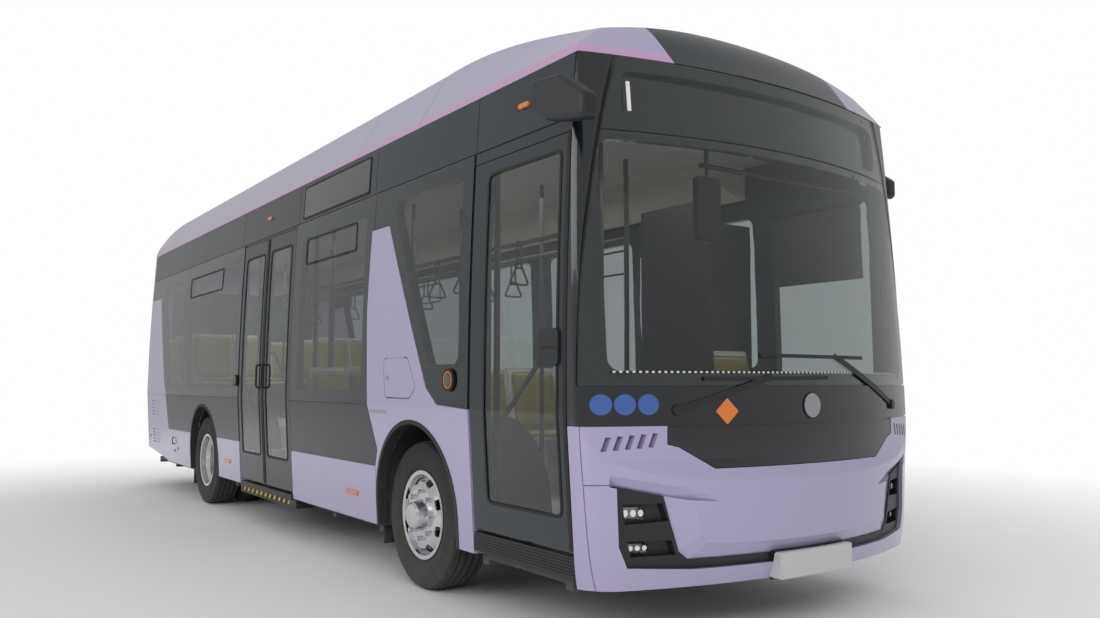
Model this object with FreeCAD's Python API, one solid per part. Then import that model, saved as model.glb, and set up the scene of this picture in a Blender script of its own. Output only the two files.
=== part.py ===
"""City bus of the 9.5 m class: single deck, low entry, two doors on the right.

Frame: +X forward, +Y to the left, +Z up, millimetres, origin on the ground under the middle of the bus.
"""
import FreeCAD, Part
import math
import os

V = FreeCAD.Vector
os.makedirs("parts", exist_ok=True)

# Driving dimensions of the body
LENGTH = 9450.0
HALF_W = 1220.0
SILL_Z = 312.0
BELT_Z = 1077.0
SKIRT_TOP_Z = 687.0
DIVISION_Z = 2467.0
GUTTER_Z = 2782.0
CROWN_Z = 3168.0
SKIRT_LEAN = 48.0
SIDE_R = 25500.0
WALL = 60.0
ROOF_T = 60.0
REAR_CORNER_R = 170.0
PANEL_GAP = 5.0
SKIN_T = 10.0
SEAT_GAP = 0.3
MOVE_GAP = 6.0
GLASS_T = 6.0
FAIRING_T = 12.0

# Places along the bus
FRONT_AXLE_X = 2720.0
REAR_AXLE_X = -2000.0
SIDE_FRONT_X = 4318.0
REAR_SEAM_X = -4520.0
DOME_X = 2692.0
CAP_X = -3800.0
MID_DOOR = (-763.0, 613.0)
MID_DOOR_Z = (364.0, 2451.0)
FRONT_DOOR = (3414.0, SIDE_FRONT_X)
FRONT_DOOR_Z = (441.0, 2404.0)

# Wheels
TYRE_OD = 867.0
TYRE_W = 265.0
RIM_R = 247.6
RIM_LIP_R = 261.0
TWIN_PITCH = 300.0
FRONT_TRACK_Y = 1018.0
REAR_OUTER_Y = 1038.0
ARCH_R = 532.0
ARCH_RISE = 33.0
ARCH_LIP = 26.0
WHEELBOX_Y = 575.0
WHEELBOX_T = 14.0
KINGPIN_Y = 930.0
KINGPIN_R = 22.0
SPINDLE_R = 42.0
NUT_CIRCLE_R = 137.5
HUB_PLAY = 0.5

# Floor and cab
FLOOR_Z = 345.0
FRONT_FLOOR_Z = 432.0
DECK_Z = 760.0
FLOOR_T = 25.0
DECK_X = -1300.0
STEP_RUN = 280.0
RAMP_FOOT_X = 2000.0
RAMP_HEAD_X = 3300.0
RAIL_Y = 430.0
RAIL_H = 80.0
RAIL_W = 70.0
RAIL_TOP_Z = 318.0

# Door gear
DOOR_T = 40.0
DOOR_EDGE_GAP = 14.0
DOOR_SET = 4.0
POST_DEPTH = 199.0
PIVOT_DEPTH = 124.0
LEAF_GAP = 10.0
POST_R = 18.0
POST_PLAY = 7.0
ARM_T = 10.0
ARM_HALF_W = 14.0
EYE_R = 18.0
PIN_R = 8.0

TYRE_R = TYRE_OD / 2
HALF_L = LENGTH / 2
AXLE_Z = TYRE_R
ARCH_Z = AXLE_Z + ARCH_RISE
POST_Y = -(HALF_W - POST_DEPTH)
PIVOT_Y = -(HALF_W - PIVOT_DEPTH)


# Helpers for outlines and solids

def half_width(z):
    """Half the body's width at a height: leaning in below the belt, a wide arc above it."""
    if z < BELT_Z:
        return HALF_W - SKIRT_LEAN * (BELT_Z - z) / (BELT_Z - SILL_Z)
    return HALF_W - SIDE_R + math.sqrt(SIDE_R ** 2 - (z - BELT_Z) ** 2)


def box(x0, x1, y0, y1, z0, z1):
    return Part.makeBox(x1 - x0, y1 - y0, z1 - z0, V(x0, y0, z0))


def cylinder(base, direction, radius, length):
    return Part.makeCylinder(radius, length, V(*base), V(*direction))


def tube(base, direction, outer, inner, length):
    return cylinder(base, direction, outer, length).cut(cylinder(base, direction, inner, length))


def outline(points, radius=0.0):
    """A closed flat face through the points, with its corners rounded."""
    pts = [V(*p) for p in points]
    count = len(pts)
    if not radius:
        return Part.Face(Part.makePolygon(pts + [pts[0]]))
    edges = []
    ends = []
    for i in range(count):
        before = pts[i - 1] - pts[i]
        after = pts[(i + 1) % count] - pts[i]
        angle = before.getAngle(after)
        reach = radius / math.tan(angle / 2)
        reach = min(reach, 0.45 * before.Length, 0.45 * after.Length)
        fillet = reach * math.tan(angle / 2)
        a = pts[i] + V(before).normalize() * reach
        b = pts[i] + V(after).normalize() * reach
        bisector = (V(before).normalize() + V(after).normalize()).normalize()
        middle = pts[i] + bisector * (fillet / math.sin(angle / 2) - fillet)
        ends.append((a, middle, b))
    for i in range(count):
        a, middle, b = ends[i]
        edges.append(Part.Arc(a, middle, b).toShape())
        edges.append(Part.LineSegment(b, ends[(i + 1) % count][0]).toShape())
    return Part.Face(Part.Wire(edges))


def side_prism(points, y0, y1, radius=0.0):
    """An outline in the XZ plane, carried across the bus from y0 to y1."""
    return outline([(x, y0, z) for x, z in points], radius).extrude(V(0, y1 - y0, 0))


def front_prism(points, x0, x1, radius=0.0):
    """An outline in the YZ plane, carried along the bus from x0 to x1."""
    return outline([(x0, y, z) for y, z in points], radius).extrude(V(x1 - x0, 0, 0))


def fuse(shapes):
    shapes = list(shapes)
    if len(shapes) == 1:
        return shapes[0]
    return shapes[0].multiFuse(shapes[1:])


def mirrored(shape):
    return shape.mirror(V(0, 0, 0), V(0, 1, 0))


def both_sides(shape):
    return [shape, mirrored(shape)]


def solids(shapes):
    found = []
    for shape in shapes:
        found.extend(shape.Solids)
    return found


def export(name, shapes):
    if not isinstance(shapes, (list, tuple)):
        shapes = [shapes]
    Part.makeCompound(solids(shapes)).exportStep("parts/%s.step" % name)


# Body shell: the section of the bus carried along its length, with rounded rear corners

def body_core(inset):
    """The closed body below the gutter, drawn in by an inset on its sides and rear."""
    bottom, top = SILL_Z, GUTTER_Z
    belt = HALF_W - inset
    middle_z = (BELT_Z + top) / 2
    corner_low = V(0, half_width(bottom) - inset, bottom)
    corner_belt = V(0, belt, BELT_Z)
    corner_mid = V(0, half_width(middle_z) - inset, middle_z)
    corner_top = V(0, half_width(top) - inset, top)

    def flip(p):
        return V(p.x, -p.y, p.z)

    edges = [
        Part.LineSegment(flip(corner_low), corner_low).toShape(),
        Part.LineSegment(corner_low, corner_belt).toShape(),
        Part.Arc(corner_belt, corner_mid, corner_top).toShape(),
        Part.LineSegment(corner_top, flip(corner_top)).toShape(),
        Part.Arc(flip(corner_top), flip(corner_mid), flip(corner_belt)).toShape(),
        Part.LineSegment(flip(corner_belt), flip(corner_low)).toShape(),
    ]
    rear = -HALF_L + inset
    face = Part.Face(Part.Wire(edges))
    face.translate(V(rear, 0, 0))
    core = face.extrude(V(SIDE_FRONT_X - rear, 0, 0))
    upright = []
    for edge in core.Edges:
        ends = [v.Point for v in edge.Vertexes]
        at_rear = all(abs(p.x - rear) < 1 for p in ends)
        at_side = all(abs(p.y) > half_width(bottom) - inset - 20 and p.y * ends[0].y > 0 for p in ends)
        if at_rear and at_side and abs(ends[0].z - ends[1].z) > 100:
            upright.append(edge)
    return core.makeFillet(REAR_CORNER_R - inset, upright)


def shell(inset_out, inset_in):
    outer = body_core(inset_out)
    inner = body_core(inset_in)
    return outer.cut(inner)


SKIN_SHELL = shell(0.0, SKIN_T)
BACK_SHELL = shell(SKIN_T, WALL)
GLASS_SHELL = shell(0.0, GLASS_T)
FRAME_SHELL = shell(GLASS_T + SEAT_GAP, WALL)
BODY_SPACE = body_core(WALL + SEAT_GAP)


def on_side(source, points, side, radius=0.0):
    """The part of a shell inside an XZ outline, on the right (-1) or the left (+1)."""
    y0 = 900.0 * side
    y1 = (HALF_W + 100.0) * side
    return source.common(side_prism(points, y0, y1, radius))


def rect(x0, x1, z0, z1):
    return [(x0, z0), (x1, z0), (x1, z1), (x0, z1)]


def offset(points, amount):
    """A flat outline of points moved outwards by an amount, or inwards when it is negative."""
    before = points[-1:] + points[:-1]
    after = points[1:] + points[:1]
    area = sum(u0 * w1 - u1 * w0 for (u0, w0), (u1, w1) in zip(points, after))
    turn = amount if area > 0 else -amount
    moved = []
    for (u0, w0), (u, w), (u1, w1) in zip(before, points, after):
        la, lb = math.hypot(u - u0, w - w0), math.hypot(u1 - u, w1 - w)
        na = ((w - w0) / la, (u0 - u) / la)
        nb = ((w1 - w) / lb, (u - u1) / lb)
        reach = turn / (1.0 + na[0] * nb[0] + na[1] * nb[1])
        moved.append((u + (na[0] + nb[0]) * reach, w + (na[1] + nb[1]) * reach))
    return moved


def side_panel(points, side):
    """A wall panel: the skin stops short of its neighbours by the visible joint, the backing meets them."""
    skin = on_side(SKIN_SHELL, offset(points, -PANEL_GAP / 2), side)
    backing = on_side(BACK_SHELL, offset(points, -SEAT_GAP / 2), side)
    return skin.fuse(backing).removeSplitter()


def arch_solid(x, y0, y1, radius):
    """A wheel arch's opening: a round top on straight sides, open at the bottom."""
    top = cylinder((x, y0, ARCH_Z), (0, 1, 0), radius, y1 - y0)
    return top.fuse(box(x - radius, x + radius, y0, y1, 0, ARCH_Z))


ARCHES = fuse(arch_solid(x, -1400, 1400, ARCH_R) for x in (FRONT_AXLE_X, REAR_AXLE_X))

# Rear pillar and the sail behind the small front window, as outlines in side view
PILLAR_FOOT_X = -3487.0
PILLAR_BELT_X = -3585.0
PILLAR_KNEE = (-3684.0, 1237.0)
PILLAR_HEAD = (-4077.0, 2225.0)
SAIL_TOP_Z = 2222.0
SAIL = [
    (2190.0, SKIRT_TOP_Z), (2232.0, 796.0), (2098.0, BELT_Z), (2061.0, 1700.0), (2086.0, SAIL_TOP_Z),
    (2353.0, SAIL_TOP_Z), (2928.0, 1191.0), (3061.0, 1096.0), (FRONT_DOOR[0], BELT_Z),
]
FLAP_TOP_Z = 1368.0
FLAP = [(2344.0, FLAP_TOP_Z), (2680.0, FLAP_TOP_Z), (2796.0, 1190.0), (2710.0, 1128.0), (2375.0, 1128.0)]
FLAP_R = 38.0
FLAP_T = 22.0
POCKET_DEPTH = 48.0
HINGE_R = MOVE_GAP / 2 - SEAT_GAP


def rear_pillar():
    """Front edge of the lilac rear pillar, from the skirt up to its head."""
    return [(PILLAR_FOOT_X, SKIRT_TOP_Z), (PILLAR_BELT_X, BELT_Z), PILLAR_KNEE, PILLAR_HEAD]


def lilac_side(side):
    """Skirt, rear pillar and sail of one side, each a solid between its joints."""
    rear = [(REAR_SEAM_X, 418.0), (-3570.0, 325.0), (-3570.0, SILL_Z), (REAR_AXLE_X, SILL_Z),
            (REAR_AXLE_X, SKIRT_TOP_Z)] + rear_pillar()[:2] + [(REAR_SEAM_X, BELT_Z)]
    pillar = rear_pillar()[1:] + [(REAR_SEAM_X, PILLAR_HEAD[1]), (REAR_SEAM_X, BELT_Z)]
    sail = [(SAIL[0][0], SILL_Z)] + SAIL + [(FRONT_DOOR[0], SILL_Z)]
    mid_from, mid_to = MID_DOOR
    pieces = [rear, sail, rect(mid_to, SAIL[0][0], SILL_Z, SKIRT_TOP_Z), pillar]
    if side < 0:
        pieces.append(rect(REAR_AXLE_X, mid_from, SILL_Z, SKIRT_TOP_Z))
    else:
        pieces.append(rect(REAR_AXLE_X, mid_to, SILL_Z, SKIRT_TOP_Z))
        pieces.append(rect(FRONT_DOOR[0], SIDE_FRONT_X, SILL_Z, BELT_Z))
    made = [side_panel(p, side).cut(ARCHES) for p in pieces]
    made[0] = made[0].cut(side_louvres(side))
    if side < 0:
        pocket = side_prism(offset(FLAP, MOVE_GAP), -1300, -half_width(FLAP_TOP_Z) + POCKET_DEPTH, FLAP_R + MOVE_GAP)
        made[1] = made[1].cut(pocket)
        made.append(cylinder((2400, *flap_axis()), (1, 0, 0), HINGE_R, 240))
    return made


LOUVRE_X = (-4290.0, -3900.0)
LOUVRE_ZS = (500.0, 536.0, 572.0, 608.0, 644.0, 824.0, 864.0, 904.0, 944.0, 984.0)
LOUVRE_H = 16.0
LOUVRE_DEPTH = 8.0


def side_louvres(side):
    """Two groups of shallow slots in the rear corner panel."""
    slots = []
    for z in LOUVRE_ZS:
        y0, y1 = sorted((side * (HALF_W + 50), side * (half_width(z) - LOUVRE_DEPTH)))
        slots.append(side_prism(rect(*LOUVRE_X, z, z + LOUVRE_H), y0, y1, LOUVRE_H * 0.4))
    return fuse(slots)


def flap_axis():
    """Place across the bus and height of the flap's hinge line, in the gap over its top edge."""
    return -(half_width(FLAP_TOP_Z) + 0.7), FLAP_TOP_Z + MOVE_GAP / 2


def charging_flap():
    return on_side(shell(0.0, FLAP_T), FLAP, -1, FLAP_R)


def charging_inlet():
    """Round inlet with its contact holes, on the pocket's floor."""
    y = -half_width(FLAP_TOP_Z) + POCKET_DEPTH - SEAT_GAP
    body = cylinder((2540, y, 1240), (0, -1, 0), 46, 18)
    holes = [cylinder((2540 + dx, y - 8, 1240 + dz), (0, -1, 0), r, 12)
             for dx, dz, r in ((-16, 16, 6), (16, 16, 6), (-16, -16, 9), (16, -16, 9))]
    return body.cut(fuse(holes))


# Windows, as outlines of what can be seen through
WINDOW_LOW_Z = 1164.0
WINDOW_TOP_Z = 2353.0
WINDOW_R = 60.0
CANT_SEAMS = (REAR_SEAM_X, -2691.0, -814.0, 642.0, 2108.0, 3432.0, SIDE_FRONT_X)
FRONT_WINDOW = [(2400.0, 2366.0), (3300.0, 2366.0), (3300.0, 1322.0), (2945.0, 1322.0)]
SIDE_WINDOW = rect(757.0, 1988.0, WINDOW_LOW_Z, WINDOW_TOP_Z)
AFT_WINDOW = rect(-2700.0, -880.0, WINDOW_LOW_Z, WINDOW_TOP_Z)
TAIL_WINDOW = [
    (-2880.0, WINDOW_LOW_Z), (-2880.0, WINDOW_TOP_Z), (-3960.0, WINDOW_TOP_Z), (-3960.0, 2150.0),
    (-3570.0, WINDOW_LOW_Z),
]
LEFT_MIDDLE_WINDOW = rect(-640.0, 500.0, WINDOW_LOW_Z, WINDOW_TOP_Z)
DRIVER_WINDOW = rect(3470.0, 4230.0, 1200.0, WINDOW_TOP_Z)


VENT_SEAM_X = 2126.0
AFT_DIVISION_X = -2793.0


def dark_side(side):
    """Waist panels, window frames and cant panels of one side."""
    mid_from, mid_to = MID_DOOR
    door = FRONT_DOOR[0]
    windows = [FRONT_WINDOW, SIDE_WINDOW, AFT_WINDOW, TAIL_WINDOW]
    if side > 0:
        windows += [LEFT_MIDDLE_WINDOW, DRIVER_WINDOW]
        mid_from = mid_to
    waists = [
        [(PILLAR_FOOT_X, SKIRT_TOP_Z), (mid_from, SKIRT_TOP_Z), (mid_from, BELT_Z), (PILLAR_BELT_X, BELT_Z)],
        [(mid_to, SKIRT_TOP_Z)] + SAIL[:3] + [(mid_to, BELT_Z)],
    ]
    made = [side_panel(points, side).cut(ARCHES) for points in waists]
    tail = rear_pillar()[1:] + [(REAR_SEAM_X, PILLAR_HEAD[1]), (REAR_SEAM_X, DIVISION_Z)]
    nose = [(door, DIVISION_Z)] + SAIL[:1:-1]
    if side < 0:
        frames = [
            tail + [(mid_from, DIVISION_Z), (mid_from, BELT_Z)],
            [(mid_to, BELT_Z), (mid_to, DIVISION_Z)] + nose,
            rect(mid_from, mid_to, MID_DOOR_Z[1], DIVISION_Z),
            rect(door, SIDE_FRONT_X, FRONT_DOOR_Z[1], DIVISION_Z),
        ]
    else:
        frames = [tail + [(SIDE_FRONT_X, DIVISION_Z), (SIDE_FRONT_X, BELT_Z)] + SAIL[:1:-1]]
    y0, y1 = sorted((900.0 * side, 1300.0 * side))
    openings = fuse(side_prism(points, y0, y1, WINDOW_R) for points in windows)
    made += [on_side(FRAME_SHELL, offset(points, -SEAT_GAP / 2), side).cut(openings) for points in frames]
    made += [side_panel(rect(a, b, DIVISION_Z, GUTTER_Z), side) for a, b in zip(CANT_SEAMS, CANT_SEAMS[1:])]
    return made


def window_panes(side):
    """Bonded panes that cover the frames from the belt to the division line."""
    mid_from, mid_to = MID_DOOR
    door = FRONT_DOOR[0]
    tail = rear_pillar()[1:] + [(REAR_SEAM_X, PILLAR_HEAD[1]), (REAR_SEAM_X, DIVISION_Z),
                                (AFT_DIVISION_X, DIVISION_Z), (AFT_DIVISION_X, BELT_Z)]
    fore = [(VENT_SEAM_X, SAIL_TOP_Z)] + SAIL[5:] + [(door, DIVISION_Z), (VENT_SEAM_X, DIVISION_Z)]
    second = [(mid_to, BELT_Z)] + SAIL[2:5] + [(VENT_SEAM_X, SAIL_TOP_Z), (VENT_SEAM_X, DIVISION_Z),
                                               (mid_to, DIVISION_Z)]
    panes = [tail, fore, second, rect(AFT_DIVISION_X, mid_from, BELT_Z, DIVISION_Z)]
    if side > 0:
        panes.append(rect(mid_from, mid_to, BELT_Z, DIVISION_Z))
        panes.append(rect(door, SIDE_FRONT_X, BELT_Z, DIVISION_Z))
    return [on_side(GLASS_SHELL, offset(p, -PANEL_GAP / 2), side) for p in panes]


# Rear end: panel, hatch and window

HATCH_HALF_W = 840.0
HATCH_Z = (560.0, 1290.0)
REAR_WINDOW_HALF_W = 930.0
REAR_WINDOW_Z = (1420.0, 2380.0)
REAR_BOTTOM_Z = 420.0
REAR_LAMP_Y = 1010.0
REAR_LAMP_R = 62.0
REAR_LAMP_ZS = (670.0, 820.0, 970.0)
REAR_LAMP_DEPTH = 14.0
NICHE_DEPTH = 16.0
NICHE_Z = 488.0


def yz_rect(half_y, z0, z1):
    return [(-half_y, z0), (half_y, z0), (half_y, z1), (-half_y, z1)]


def rear_panel():
    skin = SKIN_SHELL.common(box(-HALF_L - 1, REAR_SEAM_X - PANEL_GAP / 2, -1300, 1300, REAR_BOTTOM_Z, GUTTER_Z))
    backing = BACK_SHELL.common(box(-HALF_L - 1, REAR_SEAM_X - SEAT_GAP / 2, -1300, 1300, REAR_BOTTOM_Z, GUTTER_Z))
    panel = skin.fuse(backing).removeSplitter()
    x0, x1 = -HALF_L - 5, -HALF_L + WALL + 5
    panel = panel.cut(front_prism(yz_rect(HATCH_HALF_W + MOVE_GAP, HATCH_Z[0] - MOVE_GAP, HATCH_Z[1] + MOVE_GAP),
                                  x0, x1, 60.0))
    panel = panel.cut(front_prism(yz_rect(REAR_WINDOW_HALF_W, *REAR_WINDOW_Z), x0, x1, 90.0))
    panel = panel.cut(front_prism(yz_rect(268, NICHE_Z - 64, NICHE_Z + 64), x0, -HALF_L + NICHE_DEPTH, 10.0))
    for z in REAR_LAMP_ZS:
        for y in (-REAR_LAMP_Y, REAR_LAMP_Y):
            panel = panel.cut(cylinder((x0, y, z), (1, 0, 0), REAR_LAMP_R + SEAT_GAP, REAR_LAMP_DEPTH + 5))
    return panel


def rear_hatch():
    """Lid over the drive, with a field of louvre slots pressed through it."""
    x0, x1 = -HALF_L + 1, -HALF_L + 36
    lid = front_prism(yz_rect(HATCH_HALF_W, *HATCH_Z), x0, x1, 54.0)
    slots = [front_prism([(-640, z), (640, z), (640, z + 18), (-640, z + 18)], x0 - 5, x0 + 22, 8.0)
             for z in range(880, 1200, 48)]
    handle = box(x0 - 1, x0 + 16, -90, 90, 640, 690)
    return lid.cut(fuse(slots)).cut(handle)


def hatch_hinge():
    """Hinge barrel in the gap over the hatch."""
    return cylinder((-HALF_L + HINGE_R, -700, HATCH_Z[1] + MOVE_GAP / 2), (0, 1, 0), HINGE_R, 1400)


def rear_window():
    half = REAR_WINDOW_HALF_W - SEAT_GAP
    low, top = REAR_WINDOW_Z
    return front_prism(yz_rect(half, low + SEAT_GAP, top - SEAT_GAP), -HALF_L + 3, -HALF_L + 3 + GLASS_T, 90.0)


def rear_lamps():
    made = []
    for z in REAR_LAMP_ZS:
        for y in (-REAR_LAMP_Y, REAR_LAMP_Y):
            lens = cylinder((-HALF_L + 1, y, z), (1, 0, 0), REAR_LAMP_R, REAR_LAMP_DEPTH - 1)
            made.append(lens)
    return made


# Front end: level outlines of the nose, lofted

FRONT_LOW_Z = 291.0
MASK_Z = 1024.0
SCREEN_LOW_Z = 1209.0
SIGN_Z = 2408.0
CORNER_X = 4410.0
CORNER_TOP_X = 4335.0
CREASE_Z = 766.0
NOSE_LEVELS = ((FRONT_LOW_Z, 4653.0, 230.0, 0.0), (400.0, 4697.0, 170.0, 0.0), (560.0, 4716.0, 120.0, 0.0),
               (CREASE_Z, HALF_L, 84.0, 0.0), (MASK_Z, 4729.0, 60.0, 0.0))
BROW_LEVELS = ((FRONT_LOW_Z - 1, 4790.0, 84.0, 20.0), (CREASE_Z, HALF_L, 84.0, 20.0), (826.0, 4700.0, 70.0, 19.0),
               (871.0, 4700.5, 66.0, 6.0), (MASK_Z + 1, 4703.0, 60.0, 2.0))
BROW_SPREAD = 30.0
SCREEN_LEVELS = ((MASK_Z, 4708.0, 60.0, 0.0), (SCREEN_LOW_Z, 4704.0, 60.0, 0.0), (1800.0, 4649.0, 60.0, 0.0),
                 (SIGN_Z, 4575.0, 60.0, 0.0), (GUTTER_Z, 4522.0, 60.0, 0.0))
NOSE_T = 46.0
SCREEN_T = 8.0
SCREEN_INSET = 3.0
SCREEN_POST_X = 4382.0
SIGN_HALF_W = 940.0
NOSE_BACK_X = SIDE_FRONT_X + SEAT_GAP / 2
NOSE_ROOT_X = SIDE_FRONT_X - 150.0


def corner_x(z):
    """Where the nose's plan meets the side at a height."""
    if z < BELT_Z:
        return CORNER_X
    return CORNER_X + (CORNER_TOP_X - CORNER_X) * (z - BELT_Z) / (GUTTER_Z - BELT_Z)


def nose_bow(level, spread=0.0):
    """Half width, centre and radius of the nose's bow at one level, carried on sideways by a spread."""
    z, centre_x, corner_r, shift = level
    half = half_width(z) + spread
    sagitta = (centre_x - corner_x(z) - shift) * (half / half_width(z)) ** 2
    bow = (half ** 2 + sagitta ** 2) / (2 * sagitta)
    return half, centre_x - bow, bow


def nose_outline(level, inset, spread=0.0):
    """Plan of the nose at one level: a wide bow between two rounded corners."""
    z, corner_r = level[0], level[2]
    outer_half, origin, bow = nose_bow(level, spread)
    bow -= inset
    half = outer_half - inset
    radius = max(corner_r - inset, 12.0)
    fillet_x = origin + math.sqrt((bow - radius) ** 2 - (half - radius) ** 2)
    fillet = V(fillet_x, half - radius, z)
    middle = V(origin, 0, z)
    out = (fillet - middle).normalize()
    touch = middle + out * bow
    knee = fillet + (out + V(0, 1, 0)).normalize() * radius

    def flip(p):
        return V(p.x, -p.y, p.z)

    side_point = V(fillet_x, half, z)
    back = V(NOSE_ROOT_X, half, z)
    edges = [
        Part.LineSegment(flip(back), flip(side_point)).toShape(),
        Part.Arc(flip(side_point), flip(knee), flip(touch)).toShape(),
        Part.Arc(flip(touch), V(origin + bow, 0, z), touch).toShape(),
        Part.Arc(touch, knee, side_point).toShape(),
        Part.LineSegment(side_point, back).toShape(),
        Part.LineSegment(back, flip(back)).toShape(),
    ]
    return Part.Wire(edges)


FORMS = {}


def screen_form(inset):
    """The solid behind the windscreen's surface, drawn in by an inset."""
    if ("screen", inset) not in FORMS:
        FORMS["screen", inset] = Part.makeLoft([nose_outline(level, inset) for level in SCREEN_LEVELS], True, False)
    return FORMS["screen", inset]


def bumper_form(inset):
    """The solid behind the bumper's surface: the face below its crease meets the brow above it."""
    if ("bumper", inset) not in FORMS:
        face = Part.makeLoft([nose_outline(level, inset) for level in NOSE_LEVELS], True, False)
        brow = Part.makeLoft([nose_outline(level, inset, BROW_SPREAD) for level in BROW_LEVELS], True, True)
        FORMS["bumper", inset] = face.common(brow)
    return FORMS["bumper", inset]


def nose_shell(form, inset_out, inset_in):
    """The skin of a front form between two insets, from the front edge of the body sides forward."""
    return form(inset_out).cut(form(inset_in)).common(box(NOSE_BACK_X, 5000, -1400, 1400, 0, 4000))


def nose_point(y, z, depth):
    """A point at a depth behind the bumper's face."""
    for low, high in zip(NOSE_LEVELS, NOSE_LEVELS[1:]):
        if low[0] <= z <= high[0]:
            share = (z - low[0]) / (high[0] - low[0])
            centre_x = low[1] + share * (high[1] - low[1])
    half, origin, bow = nose_bow((z, centre_x, 0.0, 0.0))
    return V(origin + math.sqrt(bow ** 2 - y ** 2) - depth, y, z)


def scoop(stations):
    """A wedge that bevels the bumper's face, from an edge that stays to an edge that is set back."""
    wires = []
    for (y0, z0), (y1, z1), depth in stations:
        points = [nose_point(y0, z0, -1.0), nose_point(y1, z1, -60.0), nose_point(y1, z1, depth)]
        wires.append(Part.makePolygon(points + points[:1]))
    return Part.makeLoft(wires, True, True)


MASK_HALF = [(0.0, 824.0), (600.0, 824.0), (781.0, 926.0), (836.0, 940.0), (836.0, MASK_Z), (0.0, MASK_Z)]
LAMP_RECESS = [(1062.0, 756.0), (844.0, 708.0), (805.0, 570.0), (767.0, 453.0), (722.0, 417.0), (694.0, 372.0),
               (1010.0, 392.0), (1049.0, 487.0)]
BAND_T = 22.0
LAMP_FLOOR_INSET = 95.0
LAMP_INNER_Y = 712.0
LAMPS = ((963.0, 631.0, 50.0, 27.0), (941.0, 474.0, 46.0, 20.0))
POCKETS = (((1021.0, 675.0), (847.0, 675.0), (820.0, 594.0), (1011.0, 583.0)),
           ((999.0, 510.0), (803.0, 506.0), (781.0, 441.0), (983.0, 437.0)))
POCKET_INSET = 62.0
LAMP_INSET = 46.0
SHIELD = (((630.0, 702.0), (640.0, 706.0), 1.0), ((712.0, 690.0), (850.0, 716.0), 30.0),
          ((676.0, 525.0), (778.0, 450.0), 30.0), ((640.0, 492.0), (724.0, 408.0), 30.0),
          ((560.0, 484.0), (560.0, 408.0), 30.0), ((420.0, 482.0), (420.0, 408.0), 30.0),
          ((280.0, 480.0), (280.0, 408.0), 30.0), ((140.0, 479.0), (140.0, 408.0), 30.0),
          ((0.0, 478.0), (0.0, 408.0), 30.0))
BROW_SHADE = (((1092.0, 806.0), (1092.0, 754.0), 40.0), ((960.0, 781.0), (960.0, 730.0), 38.0),
              ((744.0, 743.0), (744.0, 688.0), 30.0), ((590.0, 683.0), (590.0, 676.0), 1.0))
LOUVRE_COUNT = 5


def nose_zone(points, x_from=4330.0):
    return front_prism(points, x_from, 4900.0)


def louvre_slots():
    """Slanted slots across the cheek beside the black mask."""
    slots = []
    for i in range(LOUVRE_COUNT):
        y = 878.0 + 52.0 * i
        z = 990.0 - 4.0 * i
        slots.append(nose_zone([(y, z), (y + 24, z + 3), (y + 46, z - 60), (y + 22, z - 63)], 4380.0))
    return fuse(slots)


def whole(half):
    """The outline across the bus whose left half is given from the middle out and back."""
    return half + [(-y, z) for y, z in reversed(half[1:-1])]


def band_outline():
    """The slot under the shield, from tray to tray."""
    upper, lower = LAMP_RECESS[4], LAMP_RECESS[5]
    return [lower, upper, (-upper[0], upper[1]), (-lower[0], lower[1])]


def bumper():
    """Lilac nose below the mask, open at the mask, the lamps and the louvres, with a shield standing proud."""
    skin = nose_shell(bumper_form, 0.0, NOSE_T)
    mask = nose_zone(whole(MASK_HALF))
    recess = nose_zone(LAMP_RECESS)
    band = nose_zone(band_outline())
    frame = scoop(SHIELD)
    shade = scoop(BROW_SHADE)
    cuts = [mask, band, louvre_slots(), mirrored(louvre_slots()), recess, mirrored(recess)]
    cuts += both_sides(frame) + both_sides(shade)
    skin = skin.cut(fuse(cuts))
    upright = box(CORNER_X - 12, CORNER_X - 12 + PANEL_GAP, 1000, 1300, FRONT_LOW_Z - 5, MASK_Z + 5)
    level = box(CORNER_X - 12, 4900, LAMP_RECESS[0][0], 1300, CREASE_Z - PANEL_GAP, CREASE_Z).cut(bumper_form(SKIN_T))
    return skin.cut(fuse(both_sides(upright) + both_sides(level)))


def lamp_bezels():
    """Black trays round the lamps, with a pocket for each, joined by a band under the shield."""
    tray = nose_shell(bumper_form, BAND_T, LAMP_FLOOR_INSET).common(nose_zone(offset(LAMP_RECESS, -SEAT_GAP), 4380.0))
    for (y, z, half_w, half_h), pocket in zip(LAMPS, POCKETS):
        tray = tray.cut(nose_zone(pocket, 4380.0).cut(bumper_form(POCKET_INSET)))
        tray = tray.cut(nose_zone(rect(y - half_w, y + half_w, z - half_h, z + half_h), 4380.0))
    band = nose_shell(bumper_form, BAND_T, NOSE_T).common(nose_zone(offset(band_outline(), -SEAT_GAP)))
    return both_sides(tray) + [band]


def headlamps():
    """Two lamps on each side, each a block whose lens follows the nose."""
    made = []
    for y, z, half_w, half_h in LAMPS:
        edge = rect(y - half_w + SEAT_GAP, y + half_w - SEAT_GAP, z - half_h + SEAT_GAP, z + half_h - SEAT_GAP)
        lamp = front_prism(edge, 4380.0, 4900.0, 8.0).common(bumper_form(LAMP_INSET))
        made += both_sides(lamp.cut(bumper_form(LAMP_FLOOR_INSET)))
    return made


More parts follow.
